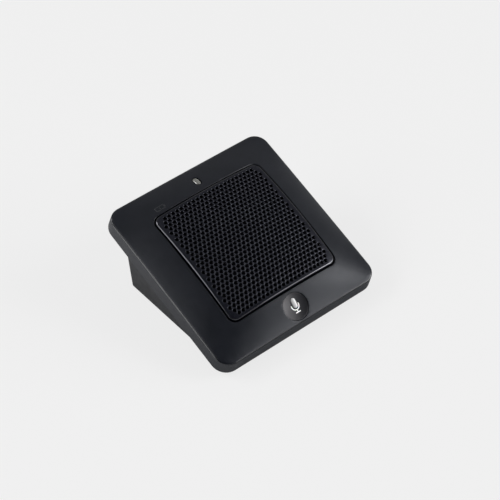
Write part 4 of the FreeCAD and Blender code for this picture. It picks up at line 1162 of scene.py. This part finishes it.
def floor():
    """Wide pale table top that keeps the object's shadow.

    The camera, reflections and see-through parts meet pale shaders, everything else plain grey. In
    reflections the floor is brightest on the left.
    """
    far = FLOOR_HALF
    mesh = bpy.data.meshes.new("floor")
    mesh.from_pydata([(-far, -far, 0), (far, -far, 0), (far, far, 0), (-far, far, 0)], [], [(0, 1, 2, 3)])
    made = bpy.data.objects.new("floor", mesh)
    bpy.context.scene.collection.objects.link(made)
    material = bpy.data.materials.new("floor")
    material.use_nodes = True
    nodes, links = material.node_tree.nodes, material.node_tree.links
    nodes.clear()
    plain = nodes.new("ShaderNodeBsdfDiffuse")
    plain.inputs["Color"].default_value = FLOOR_GREY

    def part_lit(lit, glow):
        """Diffuse share that takes shadows, on an even glow."""
        thin = nodes.new("ShaderNodeBsdfDiffuse")
        thin.inputs["Color"].default_value = (lit, lit, lit, 1)
        even = nodes.new("ShaderNodeEmission")
        even.inputs["Color"].default_value = WHITE
        even.inputs["Strength"].default_value = glow
        both = nodes.new("ShaderNodeAddShader")
        links.new(thin.outputs[0], both.inputs[0])
        links.new(even.outputs[0], both.inputs[1])
        return both.outputs[0]

    fade = (FLOOR_BRIGHT_X * MM, FLOOR_DIM_X * MM)
    rightwards = map_range(nodes, links, coordinate(nodes, links, "Object", "X"), fade)
    left, right = part_lit(*FLOOR_MIRRORED_LEFT), part_lit(*FLOOR_MIRRORED_RIGHT)
    uneven = mixed(nodes, links, rightwards, left, right)
    path = nodes.new("ShaderNodeLightPath")
    pale = mixed(nodes, links, path.outputs["Is Glossy Ray"], part_lit(*FLOOR_SEEN), uneven)
    seen = joined(nodes, links, "MAXIMUM", path.outputs["Is Camera Ray"], path.outputs["Is Glossy Ray"])
    either = joined(nodes, links, "MAXIMUM", seen, path.outputs["Is Transmission Ray"])
    output = nodes.new("ShaderNodeOutputMaterial")
    links.new(mixed(nodes, links, either, plain.outputs[0], pale), output.inputs["Surface"])
    mesh.materials.append(material)


def surroundings():
    """Dim room that is brighter at the back, pale to the camera and low down in reflections."""
    world = bpy.data.worlds.new("studio")
    bpy.context.scene.world = world
    world.use_nodes = True
    nodes, links = world.node_tree.nodes, world.node_tree.links
    nodes.clear()
    dim = nodes.new("ShaderNodeBackground")
    dim.inputs["Color"].default_value = WHITE
    towards = nodes.new("ShaderNodeVectorMath")
    towards.operation = "DOT_PRODUCT"
    towards.inputs[1].default_value = SKY_BRIGHT_WAY
    links.new(nodes.new("ShaderNodeTexCoord").outputs["Generated"], towards.inputs[0])
    room = map_range(nodes, links, towards.outputs["Value"], SKY_FADE, (SKY_DARK, SKY_BRIGHT))
    links.new(room, dim.inputs["Strength"])
    pale = nodes.new("ShaderNodeBackground")
    pale.inputs["Color"].default_value = WHITE
    pale.inputs["Strength"].default_value = PALE
    height = coordinate(nodes, links, "Generated", "Z")
    low = map_range(nodes, links, height, PALE_FADE, (1.0, 0.0))
    path = nodes.new("ShaderNodeLightPath").outputs
    seen = joined(nodes, links, "MAXIMUM", path["Is Glossy Ray"], path["Is Transmission Ray"])
    near_floor = joined(nodes, links, "MULTIPLY", seen, low)
    either = joined(nodes, links, "MAXIMUM", near_floor, path["Is Camera Ray"])
    output = nodes.new("ShaderNodeOutputWorld")
    links.new(mixed(nodes, links, either, dim.outputs[0], pale.outputs[0]), output.inputs["Surface"])


def softbox(name, azimuth, elevation, distance, width, height, radiance):
    """Soft rectangular lamp that faces the object and shows as one even bright panel."""
    lamp = bpy.data.lights.new(name, "AREA")
    lamp.shape = "RECTANGLE"
    lamp.size = width
    lamp.size_y = height
    lamp.energy = radiance * math.pi * width * height
    made = bpy.data.objects.new(name, lamp)
    away = direction(math.radians(azimuth), math.radians(elevation))
    made.location = away * distance + Vector((0, 0, LAMP_AIM))
    made.rotation_euler = away.to_track_quat("Z", "Y").to_euler()
    made.visible_camera = False
    bpy.context.scene.collection.objects.link(made)


dress_frame()
top_cover()
battery_symbol()
grille()
mute_button()
mute_symbol()
status_window()
base_walls()
camera()
floor()
surroundings()
for lamp in LAMPS:
    softbox(*lamp)

bpy.context.scene.view_settings.view_transform = "Standard"
